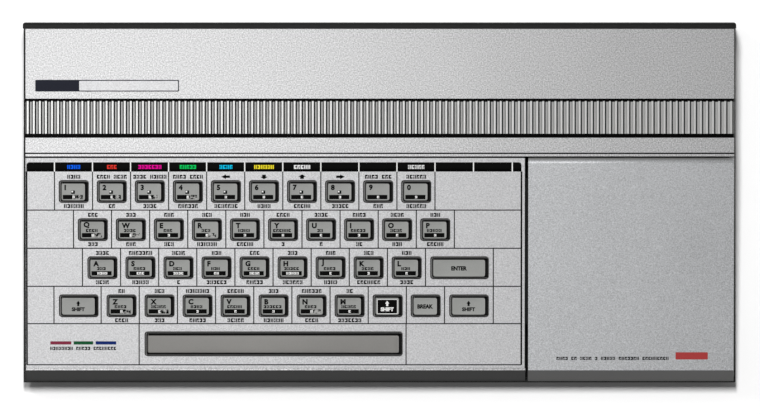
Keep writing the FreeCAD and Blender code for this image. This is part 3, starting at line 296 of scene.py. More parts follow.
def shade_places(made, shades):
    """Gives the masked places of a silver piece other tones, in this order: painted shade and
    painted light, and the darker front bevel, which also loses its metal.
    """
    tree = made.node_tree
    shader = tree.nodes["Principled BSDF"]
    colour = shader.inputs["Base Color"].links[0].from_socket
    masks = tree.nodes.new("ShaderNodeGroup")
    masks.node_tree = RECESSES
    for name, shade in shades:
        mix = tree.nodes.new("ShaderNodeMix")
        mix.data_type = "RGBA"
        tree.links.new(masks.outputs[name], mix.inputs["Factor"])
        tree.links.new(colour, mix.inputs["A"])
        mix.inputs["B"].default_value = (*shade, 1)
        colour = mix.outputs["Result"]
    tree.links.new(colour, shader.inputs["Base Color"])
    kept = math_node(tree, "SUBTRACT", 1.0, masks.outputs["Front"])
    full = shader.inputs["Metallic"].default_value
    tree.links.new(math_node(tree, "MULTIPLY", kept, full), shader.inputs["Metallic"])
    return made


def grey(value):
    return (value, value, value * 0.985)


WEAR_START = 0.44
WEAR_FULL = 0.56
RUBBED = (0.34, 0.34, 0.33, 1)


def worn(made):
    """Ink rubbed away in small pale spots."""
    tree = made.node_tree
    shader = tree.nodes["Principled BSDF"]
    place = tree.nodes.new("ShaderNodeTexCoord")
    spots = add(tree, "ShaderNodeTexNoise", Scale=650.0, Detail=3.0, Roughness=0.7)
    tree.links.new(place.outputs["Object"], spots.inputs["Vector"])
    mask = tree.nodes.new("ShaderNodeMapRange")
    mask.inputs["From Min"].default_value = WEAR_START
    mask.inputs["From Max"].default_value = WEAR_FULL
    tree.links.new(spots.outputs["Fac"], mask.inputs["Value"])
    mix = tree.nodes.new("ShaderNodeMix")
    mix.data_type = "RGBA"
    tree.links.new(mask.outputs[0], mix.inputs["Factor"])
    tree.links.new(shader.inputs["Base Color"].links[0].from_socket, mix.inputs["A"])
    mix.inputs["B"].default_value = RUBBED
    tree.links.new(mix.outputs["Result"], shader.inputs["Base Color"])
    return made


# Silver shell: a painted highlight on the rib crests; painted shade on the rib flanks, valleys,
# shoulders, creases and gaps, paler on the ribs towards the right; the front bevel dark grey;
# painted shade on both side rims and on the left wall
SILVER = shade_places(
    finish("silver paint", (0.66, 0.66, 0.665), 0.37, flake=0.9, cloud=0.05, scale=1500.0,
           metal=0.8, shine=0.05),
    [("Crests", grey(0.85)), ("Ribs", grey(0.3)), ("Valleys", grey(0.42)),
     ("Shoulders", grey(0.16)), ("Far Ribs", grey(0.62)), ("Creases", grey(0.012)),
     ("Gaps", grey(0.004)), ("Front", grey(0.025)), ("Left Rim", grey(0.004)),
     ("Right Rim", grey(0.25)), ("Left Wall", grey(0.36))])
# Door: painted light on its rounded rear edge, painted shade along its left edge and its right rim;
# its front lip darker grey
SILVER_DOOR = shade_places(
    finish("silver paint, door", (0.68, 0.69, 0.705), 0.39, flake=0.6, cloud=0.07, scale=1500.0,
           metal=0.8, shine=0.05),
    [("Door Rear", grey(0.88)), ("Front", grey(0.125)), ("Door Edge", grey(0.004)),
     ("Right Rim", grey(0.25))])
# Plate: painted shade along its right edge by the door and along its rear edge
PLATE = shade_places(
    finish("silver plate", (0.67, 0.67, 0.68), 0.44, flake=0.5, cloud=0.04, scale=1500.0,
           metal=0.68),
    [("Plate Edge", grey(0.004)), ("Plate Rear", grey(0.02))])
BADGE_BLACK = finish("badge black", (0.006, 0.007, 0.014), 0.4, flake=0.3, depth=0.05, shine=0.2)
BADGE_SILVER = finish("silver field", (0.66, 0.66, 0.67), 0.38, flake=0.4, scale=1500.0, metal=0.7)
BLACK_CASE = finish("black moulding", grey(0.009), 0.48, flake=0.4, depth=0.3, shine=0.3)
# Copies of the collar plastic: plain grey, a paler one painted light for the lit side, and a
# near-black one painted shade, which is also the key frame's colour
COLLAR = finish("collar moulding", grey(0.15), 0.4, flake=0.15, shine=0.4)
COLLAR_LIT = finish("collar moulding, lit side", grey(0.3), 0.4, flake=0.15, shine=0.4)
COLLAR_SHADE = finish("collar moulding, painted shade", grey(0.007), 0.5, flake=0.3, shine=0.12)
# Copies of the key and bar plastics: near-black sides in painted shade, and paler ones as a painted
# highlight along the right top edge
KEY = finish("key plastic", (0.26, 0.264, 0.254), 0.38, flake=0.1, cloud=0.16, depth=0.1)
KEY_SHADE = finish("key plastic, sides in painted shade", grey(0.014), 0.5, flake=0.2, shine=0.12)
KEY_HIGHLIGHT = finish("key plastic, painted highlight", (0.36, 0.36, 0.35), 0.3, flake=0.1)
BAR_EDGE = finish("bar plastic, painted highlight", (0.26, 0.255, 0.245), 0.3, flake=0.1)
BAR = finish("bar plastic", (0.2, 0.195, 0.185), 0.35, flake=0.08, cloud=0.16, depth=0.06)
INK = finish("black ink", grey(0.003), 0.5, flake=0.3, depth=0.05, shine=0.03)
INK_WORN = worn(finish("black ink, worn", grey(0.003), 0.5, flake=0.3, depth=0.05, shine=0.03))
INK_PALE = finish("pale ink", grey(0.75), 0.5, flake=0.1, depth=0.05)
INK_LINE = finish("line ink", grey(0.012), 0.5, flake=0.2, depth=0.05, shine=0.1)
RUBBER = finish("dome rubber", (0.5, 0.5, 0.46), 0.6, depth=0.3)
FILM = finish("membrane film", (0.62, 0.6, 0.5), 0.3)
STEEL = finish("steel plate", grey(0.5), 0.35, metal=1.0, scale=600.0)
BOARD = finish("circuit board", (0.012, 0.12, 0.045), 0.35, cloud=0.2)
CHIP = finish("chip plastic", grey(0.02), 0.55, depth=0.3)
SOCKET = finish("socket plastic", grey(0.012), 0.4, shine=0.3)
GOLD = finish("gold plating", (0.75, 0.5, 0.16), 0.3, metal=1.0)
TIN = finish("plated metal", grey(0.6), 0.28, metal=1.0)
ROCKER = finish("rocker plastic", grey(0.012), 0.25)
FOOT = finish("foot rubber", grey(0.02), 0.75, depth=0.5, shine=0.2)

NODE_FINISH = {
    "bottom_case": BLACK_CASE, "top_case": SILVER, "keyboard_faceplate": PLATE,
    "key_frame": COLLAR_SHADE, "dome_mat": RUBBER, "keyboard_membrane": FILM,
    "keyboard_backplate": STEEL, "main_board": BOARD, "board_parts": CHIP,
    "cartridge_bay": BLACK_CASE, "cartridge_connector": SOCKET, "cartridge_door": SILVER_DOOR,
    "power_rocker": ROCKER, "power_switch_body": SOCKET, "joystick_sockets": TIN,
    "rear_sockets": SOCKET, "rubber_feet": FOOT, "case_screws": STEEL,
}
for node_name, node_finish in NODE_FINISH.items():
    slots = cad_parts[node_name].data.materials
    slots.clear()
    slots.append(node_finish)


# Moulded pieces get their edges softened by these widths
EDGE_WIDTHS = {"top_case": 0.3, "bottom_case": 0.4, "cartridge_door": 0.3, "power_rocker": 0.4,
               "rubber_feet": 0.6}
for node_name, width in EDGE_WIDTHS.items():
    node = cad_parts[node_name]
    weld = node.modifiers.new("weld", "WELD")
    weld.merge_threshold = 0.01 * MM
    soft = node.modifiers.new("soft edges", "BEVEL")
    soft.width = width * MM
    soft.segments = 2
    soft.limit_method = "ANGLE"
    soft.angle_limit = math.radians(40)
    soft.harden_normals = True


# Shapes

def paint(faces, number):
    for face in faces:
        face.material_index = number


def faces_of(verts):
    return list({face for vert in verts for face in vert.link_faces})


def box(shape, x0, x1, y0, y1, z0, z1, material=0):
    """A block between two corners."""
    middle = Vector(((x0 + x1) / 2, (y0 + y1) / 2, (z0 + z1) / 2))
    place = Matrix.Translation(middle) @ Matrix.Diagonal((x1 - x0, y1 - y0, z1 - z0, 1))
    made = bmesh.ops.create_cube(shape, size=1, matrix=place)["verts"]
    paint(faces_of(made), material)
    return made


def round_edges(shape, edges, radius, segments):
    return bmesh.ops.bevel(shape, geom=edges, offset=radius, affect="EDGES", segments=segments,
                           profile=0.5, material=-1, clamp_overlap=True)


def upright(edge):
    a, b = edge.verts
    return abs(a.co.z - b.co.z) > abs(a.co.x - b.co.x) + abs(a.co.y - b.co.y)


def slab(shape, x0, x1, y0, y1, z0, z1, radius, material=0, segments=4):
    """A block with round upright corners."""
    made = box(shape, x0, x1, y0, y1, z0, z1, material)
    edges = {edge for vert in made for edge in vert.link_edges if upright(edge)}
    round_edges(shape, list(edges), radius, segments)


def collar(shape, x, y, width, length):
    """The raised rim round one key: up from the plate, over a flat top and down inside."""
    flat = bmesh.ops.create_grid(
        shape, x_segments=1, y_segments=1, size=0.5,
        matrix=Matrix.Translation((x, y, 0)) @ Matrix.Diagonal((width, length, 1, 1)))["verts"]
    rounded = bmesh.ops.bevel(shape, geom=flat, offset=COLLAR_RADIUS, affect="VERTICES",
                              segments=5, profile=0.5, material=-1)
    middle = faces_of(rounded["verts"])
    for inwards, up, material in COLLAR_STEPS:
        step = bmesh.ops.inset_region(shape, faces=middle, thickness=inwards, depth=up,
                                      use_even_offset=True, use_boundary=True)["faces"]
        paint(step, material)
        # Faces turned to the left get painted shade; inside, the right side gets painted shade and
        # the left side painted light
        paint([face for face in step if face.normal.x < -0.4], 1)
        if up <= 0:
            reach = width / 2 - RIM
            paint([face for face in step if face.calc_center_median().x > x + reach], 1)
            paint([face for face in step if face.calc_center_median().x < x - reach], 2)
    bmesh.ops.delete(shape, geom=middle, context="FACES")


# Each step of a collar: how far it goes inwards, how far up, and its finish, 1 being painted shade
COLLAR_GROWTH = 0.36
COLLAR_RADIUS = 1.6
COLLAR_STEPS = [(0.001, 0.2, 0), (0.56, 0.55, 0), (0.06, 0.09, 0), (0.16, 0.0, 0),
                (0.12, -0.09, 0), (0.24, -0.6, 1), (0.001, -1.2, 1)]


def place_piece(name, shape, place, body, finishes, replaced=()):
    """Turns a drawn shape into a finished piece that rides on a body."""
    bmesh.ops.transform(shape, matrix=place, verts=shape.verts)
    mesh = bpy.data.meshes.new(name)
    shape.to_mesh(mesh)
    shape.free()
    for material in finishes:
        mesh.materials.append(material)
    for face in mesh.polygons:
        face.use_smooth = True
    mesh.set_sharp_from_angle(angle=math.radians(35))
    piece = bpy.data.objects.new(name, mesh)
    bpy.context.scene.collection.objects.link(piece)
    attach(piece, body)
    if replaced:
        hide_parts(*replaced)
    return piece


# Keys: name, pitches from the first key, row, width in pitches. Heights are from the deck.
PITCH = 20.05
ROW_PITCH = 20.3
FIRST_KEY = -161.1
FIRST_ROW = -18.3
ROWS = [
    (0.0, "1 2 3 4 5 6 7 8 9 0".split()),
    (0.5, "q w e r t y u i o p".split()),
    (0.75, "a s d f g h j k l".split()),
    (1.25, "z x c v b n m symbol break".split()),
]
KEYS = [(name, start + count, row, 1.0)
        for row, (start, names) in enumerate(ROWS) for count, name in enumerate(names)]
KEYS += [("enter", 10.14, 2, 1.75), ("shift_left", 0.125, 3, 1.25),
         ("shift_right", 10.39, 3, 1.25), ("space", 5.25, 4, 7.0)]
COLLAR_WIDTH = 15.5
COLLAR_LENGTH = 11.8
BAR_LENGTH = 12.9
RIM = 1.2
FRAME_UNDER = -3.6
FLANGE = 0.8
FLANGE_REACH = 0.8
STEM_HALF = 1.8
STEM_FOOT = -7.0
CAP_RISE = 3.0
BAR_RISE = 1.3
CAP_CORNER = 1.0
CAP_EDGE = 0.3
BAR_EDGE_ROUND = 0.7


def key_size(name, width_share):
    width = COLLAR_WIDTH + PITCH * (width_share - 1)
    return width, BAR_LENGTH if name == "space" else COLLAR_LENGTH


def key_spot(pitches, row):
    return FIRST_KEY + PITCH * pitches, FIRST_ROW - ROW_PITCH * row


def cap(shape, x, y, width, length, rise, leans, rim):
    """A key: rounded cap with leaning sides and a soft top edge, its flange and its stem."""
    half_x = width / 2 - RIM
    half_y = length / 2 - RIM
    made = box(shape, x - half_x, x + half_x, y - half_y, y + half_y, FRAME_UNDER, rise)
    left, right, front, rear = leans
    for vert in made:
        if vert.co.z > 0:
            vert.co.x += left if vert.co.x < x else -right
            vert.co.y += front if vert.co.y < y else -rear
    edges = list({edge for vert in made for edge in vert.link_edges if upright(edge)})
    rounded = round_edges(shape, edges, CAP_CORNER, 4)
    top = max(faces_of(rounded["verts"]), key=lambda face: face.calc_center_median().z)
    round_edges(shape, list(top.edges), rim, 3)
    shape.normal_update()
    # A painted highlight on the top edge facing right, painted shade on the sides, and the plain
    # key colour on the sides facing left, as if lit
    paint([face for face in shape.faces if face.normal.x > 0.15 and face.normal.z > 0.5], 4)
    paint([face for face in shape.faces if face.normal.z < 0.5], 3)
    paint([face for face in shape.faces if face.normal.x < -0.5], 0)
    half_x += FLANGE_REACH
    half_y += FLANGE_REACH
    box(shape, x - half_x, x + half_x, y - half_y, y + half_y,
        FRAME_UNDER - FLANGE, FRAME_UNDER, 3)
    box(shape, x - STEM_HALF, x + STEM_HALF, y - STEM_HALF, y + STEM_HALF,
        STEM_FOOT, FRAME_UNDER - FLANGE, 3)


def dish(shape, x, y, half_x, half_y, rise, depth):
    """Hollows the top of a key, print and all; a negative depth makes it bulge."""
    for share in DISH_CUT_SHARES:
        for side in (-1, 1):
            for plane, reach in (((1, 0, 0), half_x), ((0, 1, 0), half_y)):
                everything = shape.verts[:] + shape.edges[:] + shape.faces[:]
                spot = (x + side * share * half_x, y + side * share * half_y, 0)
                bmesh.ops.bisect_plane(shape, geom=everything, plane_no=plane, plane_co=spot)
    for vert in shape.verts:
        if vert.co.z > rise - 0.05:
            share_x = min(1.0, abs(vert.co.x - x) / half_x)
            share_y = min(1.0, abs(vert.co.y - y) / half_y)
            vert.co.z -= depth * (1 - share_x ** 3) * (1 - share_y ** 4)


CAP_LEANS = (0.2, 0.62, 0.3, 0.12)
BAR_LEANS = (0.3, 0.6, 0.4, 0.7)
CAP_SHIFT = -0.25
DISH_CUT_SHARES = (0.25, 0.5, 0.7, 0.85, 0.95)
DISH_DEPTH = 0.3
BAR_BULGE = 0.35


def letters(shape, text, x, y, z, height, material, width=0.0):
    """Text as thin raised ink: its lower left corner at a place, or centred over a width."""
    curve = bpy.data.curves.new("lettering", "FONT")
    curve.body = text
    curve.size = height / CAPITAL_SHARE
    curve.resolution_u = 3
    curve.extrude = INK_THICKNESS / 2
    curve.offset = height * INK_SPREAD
    drawn = bpy.data.objects.new("lettering", curve)
    mesh = bpy.data.meshes.new_from_object(drawn)
    before = set(shape.verts)
    shape.from_mesh(mesh)
    made = [vert for vert in shape.verts if vert not in before]
    left = min(vert.co.x for vert in made)
    right = max(vert.co.x for vert in made)
    low = min(vert.co.y for vert in made)
    high = max(vert.co.y for vert in made)
    start = Vector(((left + right) / 2, (low + high) / 2, 0)) if width else Vector((left, low, 0))
    stretch = width / (right - left) if width else 1.0
    place = (Matrix.Translation((x, y, z + INK_THICKNESS / 2)) @ Matrix.Diagonal((stretch, 1, 1, 1))
             @ Matrix.Translation(-start))
    bmesh.ops.transform(shape, matrix=place, verts=made)
    paint(faces_of(made), material)
    bpy.data.objects.remove(drawn)
    bpy.data.curves.remove(curve)
    bpy.data.meshes.remove(mesh)


CAPITAL_SHARE = 0.72
INK_THICKNESS = 0.03
INK_SPREAD = 0.075

SIGN_SHARE = 0.82

# Small print is not lettering but rows of plain strokes: for each sign, its strokes as
# left, right, low and high shares of the sign's own box.
SIGN_SHARES = [
    [(0.0, 0.42, 0.0, 1.0), (0.62, 1.0, 0.0, 1.0)],
    [(0.0, 0.42, 0.0, 1.0), (0.42, 1.0, 0.62, 1.0), (0.6, 1.0, 0.0, 0.42)],
    [(0.0, 1.0, 0.72, 1.0), (0.0, 0.5, 0.36, 0.72), (0.0, 1.0, 0.0, 0.36)],
    [(0.0, 0.44, 0.6, 1.0), (0.0, 0.44, 0.0, 0.42), (0.6, 1.0, 0.0, 1.0)],
    [(0.0, 1.0, 0.66, 1.0), (0.5, 1.0, 0.34, 0.66), (0.0, 1.0, 0.0, 0.34)],
]


def small_print(shape, words, x, y, z, height, material, seed, pitch_share=0.85):
    """A centred row of stroke signs, in words, that reads as small print from a distance."""
    pitch = height * pitch_share
    width = pitch * SIGN_SHARE
    left = x - (pitch * (sum(words) + len(words) - 2) + width) / 2
    for word, count in enumerate(words):
        for number in range(count):
            choice = seed * 7 + word + number * 3 + number * number
            for x0, x1, y0, y1 in SIGN_SHARES[choice % len(SIGN_SHARES)]:
                box(shape, left + x0 * width, left + x1 * width,
                    y - height / 2 + y0 * height, y - height / 2 + y1 * height,
                    z, z + INK_THICKNESS, material)
            left += pitch
        left += pitch


def arrow(shape, x, y, z, length, breadth, quarter_turns, material):
    """A plain arrow: a shaft and a three-sided head."""
    made = box(shape, -0.5, 0.15, -0.17, 0.17, 0, INK_THICKNESS)
    head = bmesh.ops.create_cone(shape, cap_ends=True, segments=3, radius1=0.4, radius2=0.4,
                                 depth=INK_THICKNESS,
                                 matrix=Matrix.Translation((0.2, 0, INK_THICKNESS / 2))
                                 @ Matrix.Rotation(math.radians(-90), 4, "Z"))["verts"]
    angle = math.radians(90) * quarter_turns
    turn = (Matrix.Translation((x, y, z)) @ Matrix.Rotation(angle, 4, "Z")
            @ Matrix.Diagonal((length, breadth, 1, 1)))
    bmesh.ops.transform(shape, matrix=turn, verts=made + head)
    paint(faces_of(made + head), material)


# Number of small signs printed above, on and below each key
ABOVE = [[4, 9, 10, 9, -2, -1, 1, 0, 8, 6], [3, 3, 3, 3, 3, 4, 4, 4, 4, 3],
         [4, 7, 4, 3, 3, 3, 3, 3, 3], [2, 3, 7, 5, 3, 6, 2, 0, 0]]
BELOW = [[6, 2, 4, 6, 7, 4, 5, 5, 3, 6], [3, 3, 3, 6, 5, 1, 1, 2, 3, 5],
         [4, 5, 1, 6, 5, 6, 4, 7, 4], [4, 3, 5, 5, 6, 4, 7, 0, 0]]
ON_CAP = [[0] * 10, [4, 4, 3, 3, 4, 6, 2, 5, 4, 5], [3, 4, 3, 3, 4, 5, 4, 4, 3],
          [4, 5, 4, 5, 6, 4, 5, 0, 0]]
ON_BAND = [[1] * 10, [1] * 10, [4, 3, 4, 2, 4, 5, 1, 1, 1], [1, 1, 1, 1, 1, 1, 1, 0, 0]]
ARROW_TURNS = {4: 2, 5: 3, 6: 1, 7: 0}
PRINT_GAP = 7.8
WORD_HEIGHT = 2.1
WORN_BANDS = "1 2 3 4 q w r z x n".split()


def keys():
    for name, pitches, row, width_share in KEYS:
        x, y = key_spot(pitches, row)
        width, length = key_size(name, width_share)
        bar = name == "space"
        rise = BAR_RISE if bar else CAP_RISE
        shape = bmesh.new()
        leans = BAR_LEANS if bar else CAP_LEANS
        cap(shape, x, y, width, length, rise, leans, BAR_EDGE_ROUND if bar else CAP_EDGE)
        legend(shape, name, x + CAP_SHIFT, y, rise, row)
        left, right, front, rear = leans
        half_x = width / 2 - RIM - (left + right) / 2
        half_y = length / 2 - RIM - (front + rear) / 2
        dish(shape, x + (left - right) / 2, y + (front - rear) / 2, half_x, half_y, rise,
             -BAR_BULGE if bar else DISH_DEPTH)
        place_piece("cap_" + name, shape, DECK, "key_" + name,
                    [BAR if bar else KEY, INK, INK_PALE, KEY_SHADE, BAR_EDGE if bar else KEY_HIGHLIGHT,
                     INK_WORN],
                    ["key_" + name])


def legend(shape, name, x, y, rise, row):
    """What is printed on one cap: a letter or digit, strokes, and a band with a mark."""
    ink = rise + INK_THICKNESS
    if name == "space":
        return
    if name in ("enter", "break"):
        letters(shape, name.upper(), x, y, rise, 2.1, 1, width=8.3)
        return
    if name in ("shift_left", "shift_right"):
        arrow(shape, x, y + 1.5, rise, 2.6, 3.2, 1, 1)
        letters(shape, "SHIFT", x, y - 1.5, rise, 1.9, 1, width=6.9)
        return
    if name == "symbol":
        slab(shape, x - 5.35, x + 5.45, y - 3.95, y + 3.85, rise, rise + INK_THICKNESS / 2,
             0.5, 2, 2)
        slab(shape, x - 5.1, x + 5.2, y - 3.7, y + 3.6, rise, ink, 0.4, 1, 2)
        arrow(shape, x, y + 1.5, ink, 2.6, 3.2, 1, 2)
        letters(shape, "SHIFT", x, y - 1.5, ink, 1.9, 2, width=6.9)
        return
    letters(shape, name.upper(), x - 4.6, y + 1.05, rise, 2.65, 1)
    number = ROWS[row][1].index(name)
    if name in "12345678":
        box(shape, x - 1.1, x + 0.9, y - 0.9, y + 0.9, rise, ink, 1)
        box(shape, x - 0.9, x - 0.1, y - 0.1, y + 0.7, rise, ink + INK_THICKNESS, 2)
    elif row:
        small_print(shape, [ON_CAP[row][number]], x - 0.3, y - 0.15, rise, 1.6, 1, number + row,
                    1.0)
    left, right, low, high = x - 5.5, x + 5.1, y - 3.75, y - 1.45
    if name in WORN_BANDS:
        wear_start = x - 0.4
        box(shape, left, wear_start, low, high, rise, ink, 1)
        box(shape, wear_start, right, low, high, rise, ink, 5)
    else:
        box(shape, left, right, low, high, rise, ink, 1)
    small_print(shape, [ON_BAND[row][number]], x + 0.2, y - 2.6, rise + INK_THICKNESS / 2, 1.35, 2,
                number, 1.0)


def collars():
    shape = bmesh.new()
    for name, pitches, row, width_share in KEYS:
        x, y = key_spot(pitches, row)
        width, length = key_size(name, width_share)
        collar(shape, x, y, width + COLLAR_GROWTH, length + COLLAR_GROWTH)
    place_piece("collar_rims", shape, DECK, "root", [COLLAR, COLLAR_SHADE, COLLAR_LIT])


def domes():
    """The rubber sheet under the keys, and a dome under each key; the key would press it flat, but
    here each dome keeps its rest shape.
    """
    shape = bmesh.new()
    box(shape, *MAT_SIDES, MAT_TOP - MAT_THICKNESS, MAT_TOP)
    place_piece("dome_sheet", shape, DECK, "root", [RUBBER], ["dome_mat"])
    for name, pitches, row, _ in KEYS:
        x, y = key_spot(pitches, row)
        shape = bmesh.new()
        base = MAT_TOP - DOME_SINK
        middle = Matrix.Translation((x, y, (base + DOME_TIP) / 2))
        made = bmesh.ops.create_cone(shape, cap_ends=True, segments=28, radius1=DOME_FOOT,
                                     radius2=DOME_HEAD, depth=DOME_TIP - base,
                                     matrix=middle)["verts"]
        top = max(faces_of(made), key=lambda face: face.calc_center_median().z)
        round_edges(shape, list(top.edges), 0.3, 2)
        dome = place_piece("dome_" + name, shape, DECK, "root", [RUBBER])
        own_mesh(dome)


MAT_SIDES = (-173.5, 62.0, -109.5, -9.0)
MAT_TOP = -9.9
MAT_THICKNESS = 0.8
DOME_SINK = 0.05
DOME_FOOT = 4.0
DOME_HEAD = 2.1
DOME_TIP = -7.1

# Printed grid on the plate: for each row, its rear and front pixel rows and its dividers
GRID_ROWS = [
    (171.6, 210.1, [54.4 + 38.06 * k for k in range(11)]),
    (210.1, 248.3, [73.3 + 38.11 * k for k in range(11)]),
    (248.3, 286.4, [82.2 + 38.15 * k for k in range(10)] + [493.4]),
    (286.4, 323.8, [53.6] + [100.8 + 38.2 * k for k in range(10)] + [493.4]),
    (323.8, 365.0, [138.8, 406.1]),
]
PLATE_LEFT = across(26.5)
PLATE_RIGHT = across(521.5)
STRIP_TOP = along(162.3)
STRIP_LOW = along(171.6)
GRID_FRONT = along(365.2)
LINE_WIDTH = 0.58
SWATCHES = [(0.0, 0.1, 0.75), (0.62, 0.03, 0.02), (0.65, 0.0, 0.25), (0.0, 0.5, 0.09),
            (0.0, 0.45, 0.7), (0.75, 0.62, 0.02), (0.7, 0.7, 0.7), None, None, (0.6, 0.6, 0.6)]
SWATCH_SIGNS = [4, 3, 7, 5, 4, 6, 5, 0, 0, 5]
BARS = [(49.9, 70.9, (0.19, 0.025, 0.05)), (73.2, 92.7, (0.008, 0.07, 0.025)),
        (95.2, 115.9, (0.006, 0.02, 0.12))]


def words_of(count):
    """Long print is two words."""
    return [4, count - 5] if count > 7 else [count]


def plate_print():
    shape = bmesh.new()
    top = INK_THICKNESS
    half = LINE_WIDTH / 2
    slab(shape, PLATE_LEFT, PLATE_RIGHT, STRIP_LOW, STRIP_TOP, -top, top, 1.4)
    box(shape, PLATE_LEFT, PLATE_RIGHT, STRIP_LOW, STRIP_LOW + 1.6, -top, top)
    for px in [54.4 + 38.06 * k for k in range(11)] + [473.5, 512.3]:
        x = across(px)
        box(shape, x - 0.3, x + 0.3, STRIP_LOW, STRIP_TOP, -top, top * 1.5, 1)
    for rear, front, columns in GRID_ROWS:
        y0 = along(front)
        y1 = along(rear)
        for px in columns:
            box(shape, across(px) - half, across(px) + half, y0, y1, -top, top, 2)
        box(shape, PLATE_LEFT, PLATE_RIGHT, y0 - half, y0 + half, -top, top, 2)
    for x in (PLATE_LEFT, PLATE_RIGHT):
        box(shape, x - half * 1.5, x + half * 1.5, GRID_FRONT, STRIP_LOW, -top, top)
    for row, (above, below) in enumerate(zip(ABOVE, BELOW)):
        start = ROWS[row][0]
        for number, (high, low) in enumerate(zip(above, below)):
            x, y = key_spot(start + number, row)
            if row == 0 and number in ARROW_TURNS:
                turns = ARROW_TURNS[number]
                length, breadth = (2.2, 5.8) if turns % 2 else (4.2, 3.6)
                arrow(shape, x, y + PRINT_GAP, 0, length, breadth, turns, 0)
            else:
                small_print(shape, words_of(high), x, y + PRINT_GAP, 0, WORD_HEIGHT, 0,
                            row + number)
            small_print(shape, words_of(low), x, y - PRINT_GAP, 0, WORD_HEIGHT, 0,
                        row * 2 + number)
    small_print(shape, [8, 5, 8], across(82.7), along(348.6), 0, 1.75, 0, 5, 0.87)
    place_piece("plate_print", shape, DECK, "root", [INK, INK_PALE, INK_LINE])


def colour_marks():
    shape = bmesh.new()
    inks = []
    y = (STRIP_LOW + STRIP_TOP) / 2
    for number, (colour, width) in enumerate(zip(SWATCHES, SWATCH_SIGNS)):
        if colour:
            x = key_spot(number, 0)[0]
            inks.append(finish(f"strip ink {number}", colour, 0.5, flake=0.1, depth=0.05,
                               shine=0.1))
            small_print(shape, [width], x, y, INK_THICKNESS / 2, 2.1, len(inks) - 1, number)
    for number, (left, right, colour) in enumerate(BARS):
        inks.append(finish(f"bar ink {number}", colour, 0.5, flake=0.1, depth=0.05, shine=0.1))
        box(shape, across(left), across(right), along(344.7), along(341.5), -INK_THICKNESS,
            INK_THICKNESS, len(inks) - 1)
    place_piece("colour_marks", shape, DECK, "root", inks)


def badge():
    """A black field and an outlined silver field beside it, on the rear deck."""
    shape = bmesh.new()
    low = behind(91.5)
    high = behind(79.9)
    foot = CASE_HEIGHT - 0.1
    outline, field, dark = (CASE_HEIGHT + rise for rise in (0.2, 0.24, 0.25))
    slab(shape, across(35.3), across(78.4), low, high, foot, dark, 0.5, 0)
    slab(shape, across(77.0), across(179.0), low, high, foot, outline, 0.5, 0)
    slab(shape, across(79.2), across(178.0), low + 0.5, high - 0.5, foot, field, 0.4, 1)
    place_piece("badge", shape, LEVEL, "root", [BADGE_BLACK, BADGE_SILVER])


def door_print():
    """Small strokes and a plain red label at the front of the door."""
    shape = bmesh.new()
    small_print(shape, [4, 2, 4, 1, 5, 7, 9], (across(555) + across(670.7)) / 2, along(358.6), 0,
                1.7, 0, 3, 0.92)
    slab(shape, across(676), across(708.3), along(359.7), along(352.5), -INK_THICKNESS,
         INK_THICKNESS * 2, 0.4, 1)
    red = finish("red label ink", (0.32, 0.03, 0.03), 0.45, flake=0.1, depth=0.05)
    place_piece("door_print", shape, DECK, "cartridge_door", [INK, red])


def ring(shape, x, z, outer, inner, y0, y1):
    """A round sleeve with its axis along the depth of the case."""
    place = Matrix.Translation((x, (y0 + y1) / 2, z)) @ Matrix.Rotation(math.radians(90), 4, "X")
    made = bmesh.ops.create_cone(shape, cap_ends=True, segments=40, radius1=outer, radius2=outer,
                                 depth=y1 - y0, matrix=place)["verts"]
    ends = [face for face in faces_of(made) if len(face.verts) > 4]
    bmesh.ops.inset_individual(shape, faces=ends, thickness=outer - inner)
    edges = [edge for face in ends for edge in face.edges]
    bmesh.ops.delete(shape, geom=ends, context="FACES_ONLY")
    bmesh.ops.bridge_loops(shape, edges=edges)
    bmesh.ops.recalc_face_normals(shape, faces=shape.faces[:])


def sockets():
    """Bright sleeves on the two phono sockets, pins in the joystick sockets, edge contacts."""
    shape = bmesh.new()
    for x in PHONO_PLACES:
        ring(shape, x, SOCKET_HEIGHT, SLEEVE_OUTER, SLEEVE_INNER, SLEEVE_FOOT, SLEEVE_END)
    place_piece("phono_sleeves", shape, LEVEL, "root", [TIN])
    shape = bmesh.new()
    across_case = Matrix.Rotation(math.radians(90), 4, "Y")
    for side, y in STICK_PLACES:
        for row, count in PIN_ROWS:
            for number in range(count):
                pin = Vector((side * PIN_OUT, y + (number - (count - 1) / 2) * PIN_PITCH,
                              PIN_HEIGHT + row * PIN_PITCH))
                bmesh.ops.create_cone(shape, cap_ends=True, segments=12, radius1=PIN_RADIUS,
                                      radius2=PIN_RADIUS, depth=PIN_LENGTH,
                                      matrix=Matrix.Translation(pin) @ across_case)
    place_piece("stick_pins", shape, LEVEL, "root", [GOLD])
    shape = bmesh.new()
    for number in range(CONTACTS):
        x = FIRST_CONTACT + number * CONTACT_PITCH
        for low, high in CONTACT_FACES:
            box(shape, x - CONTACT_HALF, x + CONTACT_HALF, CONTACT_FRONT, CONTACT_REAR, low, high)
    place_piece("edge_contacts", shape, LEVEL, "root", [GOLD])


PHONO_PLACES = (56.0, 24.0)
SOCKET_HEIGHT = 19.0
SLEEVE_OUTER = 4.3
SLEEVE_INNER = 3.1
SLEEVE_FOOT = 89.0
SLEEVE_END = 94.46
# Joystick sockets: side and depth of each; then place and number of pins of each pin row
STICK_PLACES = ((-1, 58.0), (1, 46.5))
PIN_ROWS = ((0.5, 5), (-0.5, 4))
PIN_OUT = 177.0
PIN_HEIGHT = 27.0
PIN_PITCH = 2.8
PIN_RADIUS = 0.5
PIN_LENGTH = 4.6
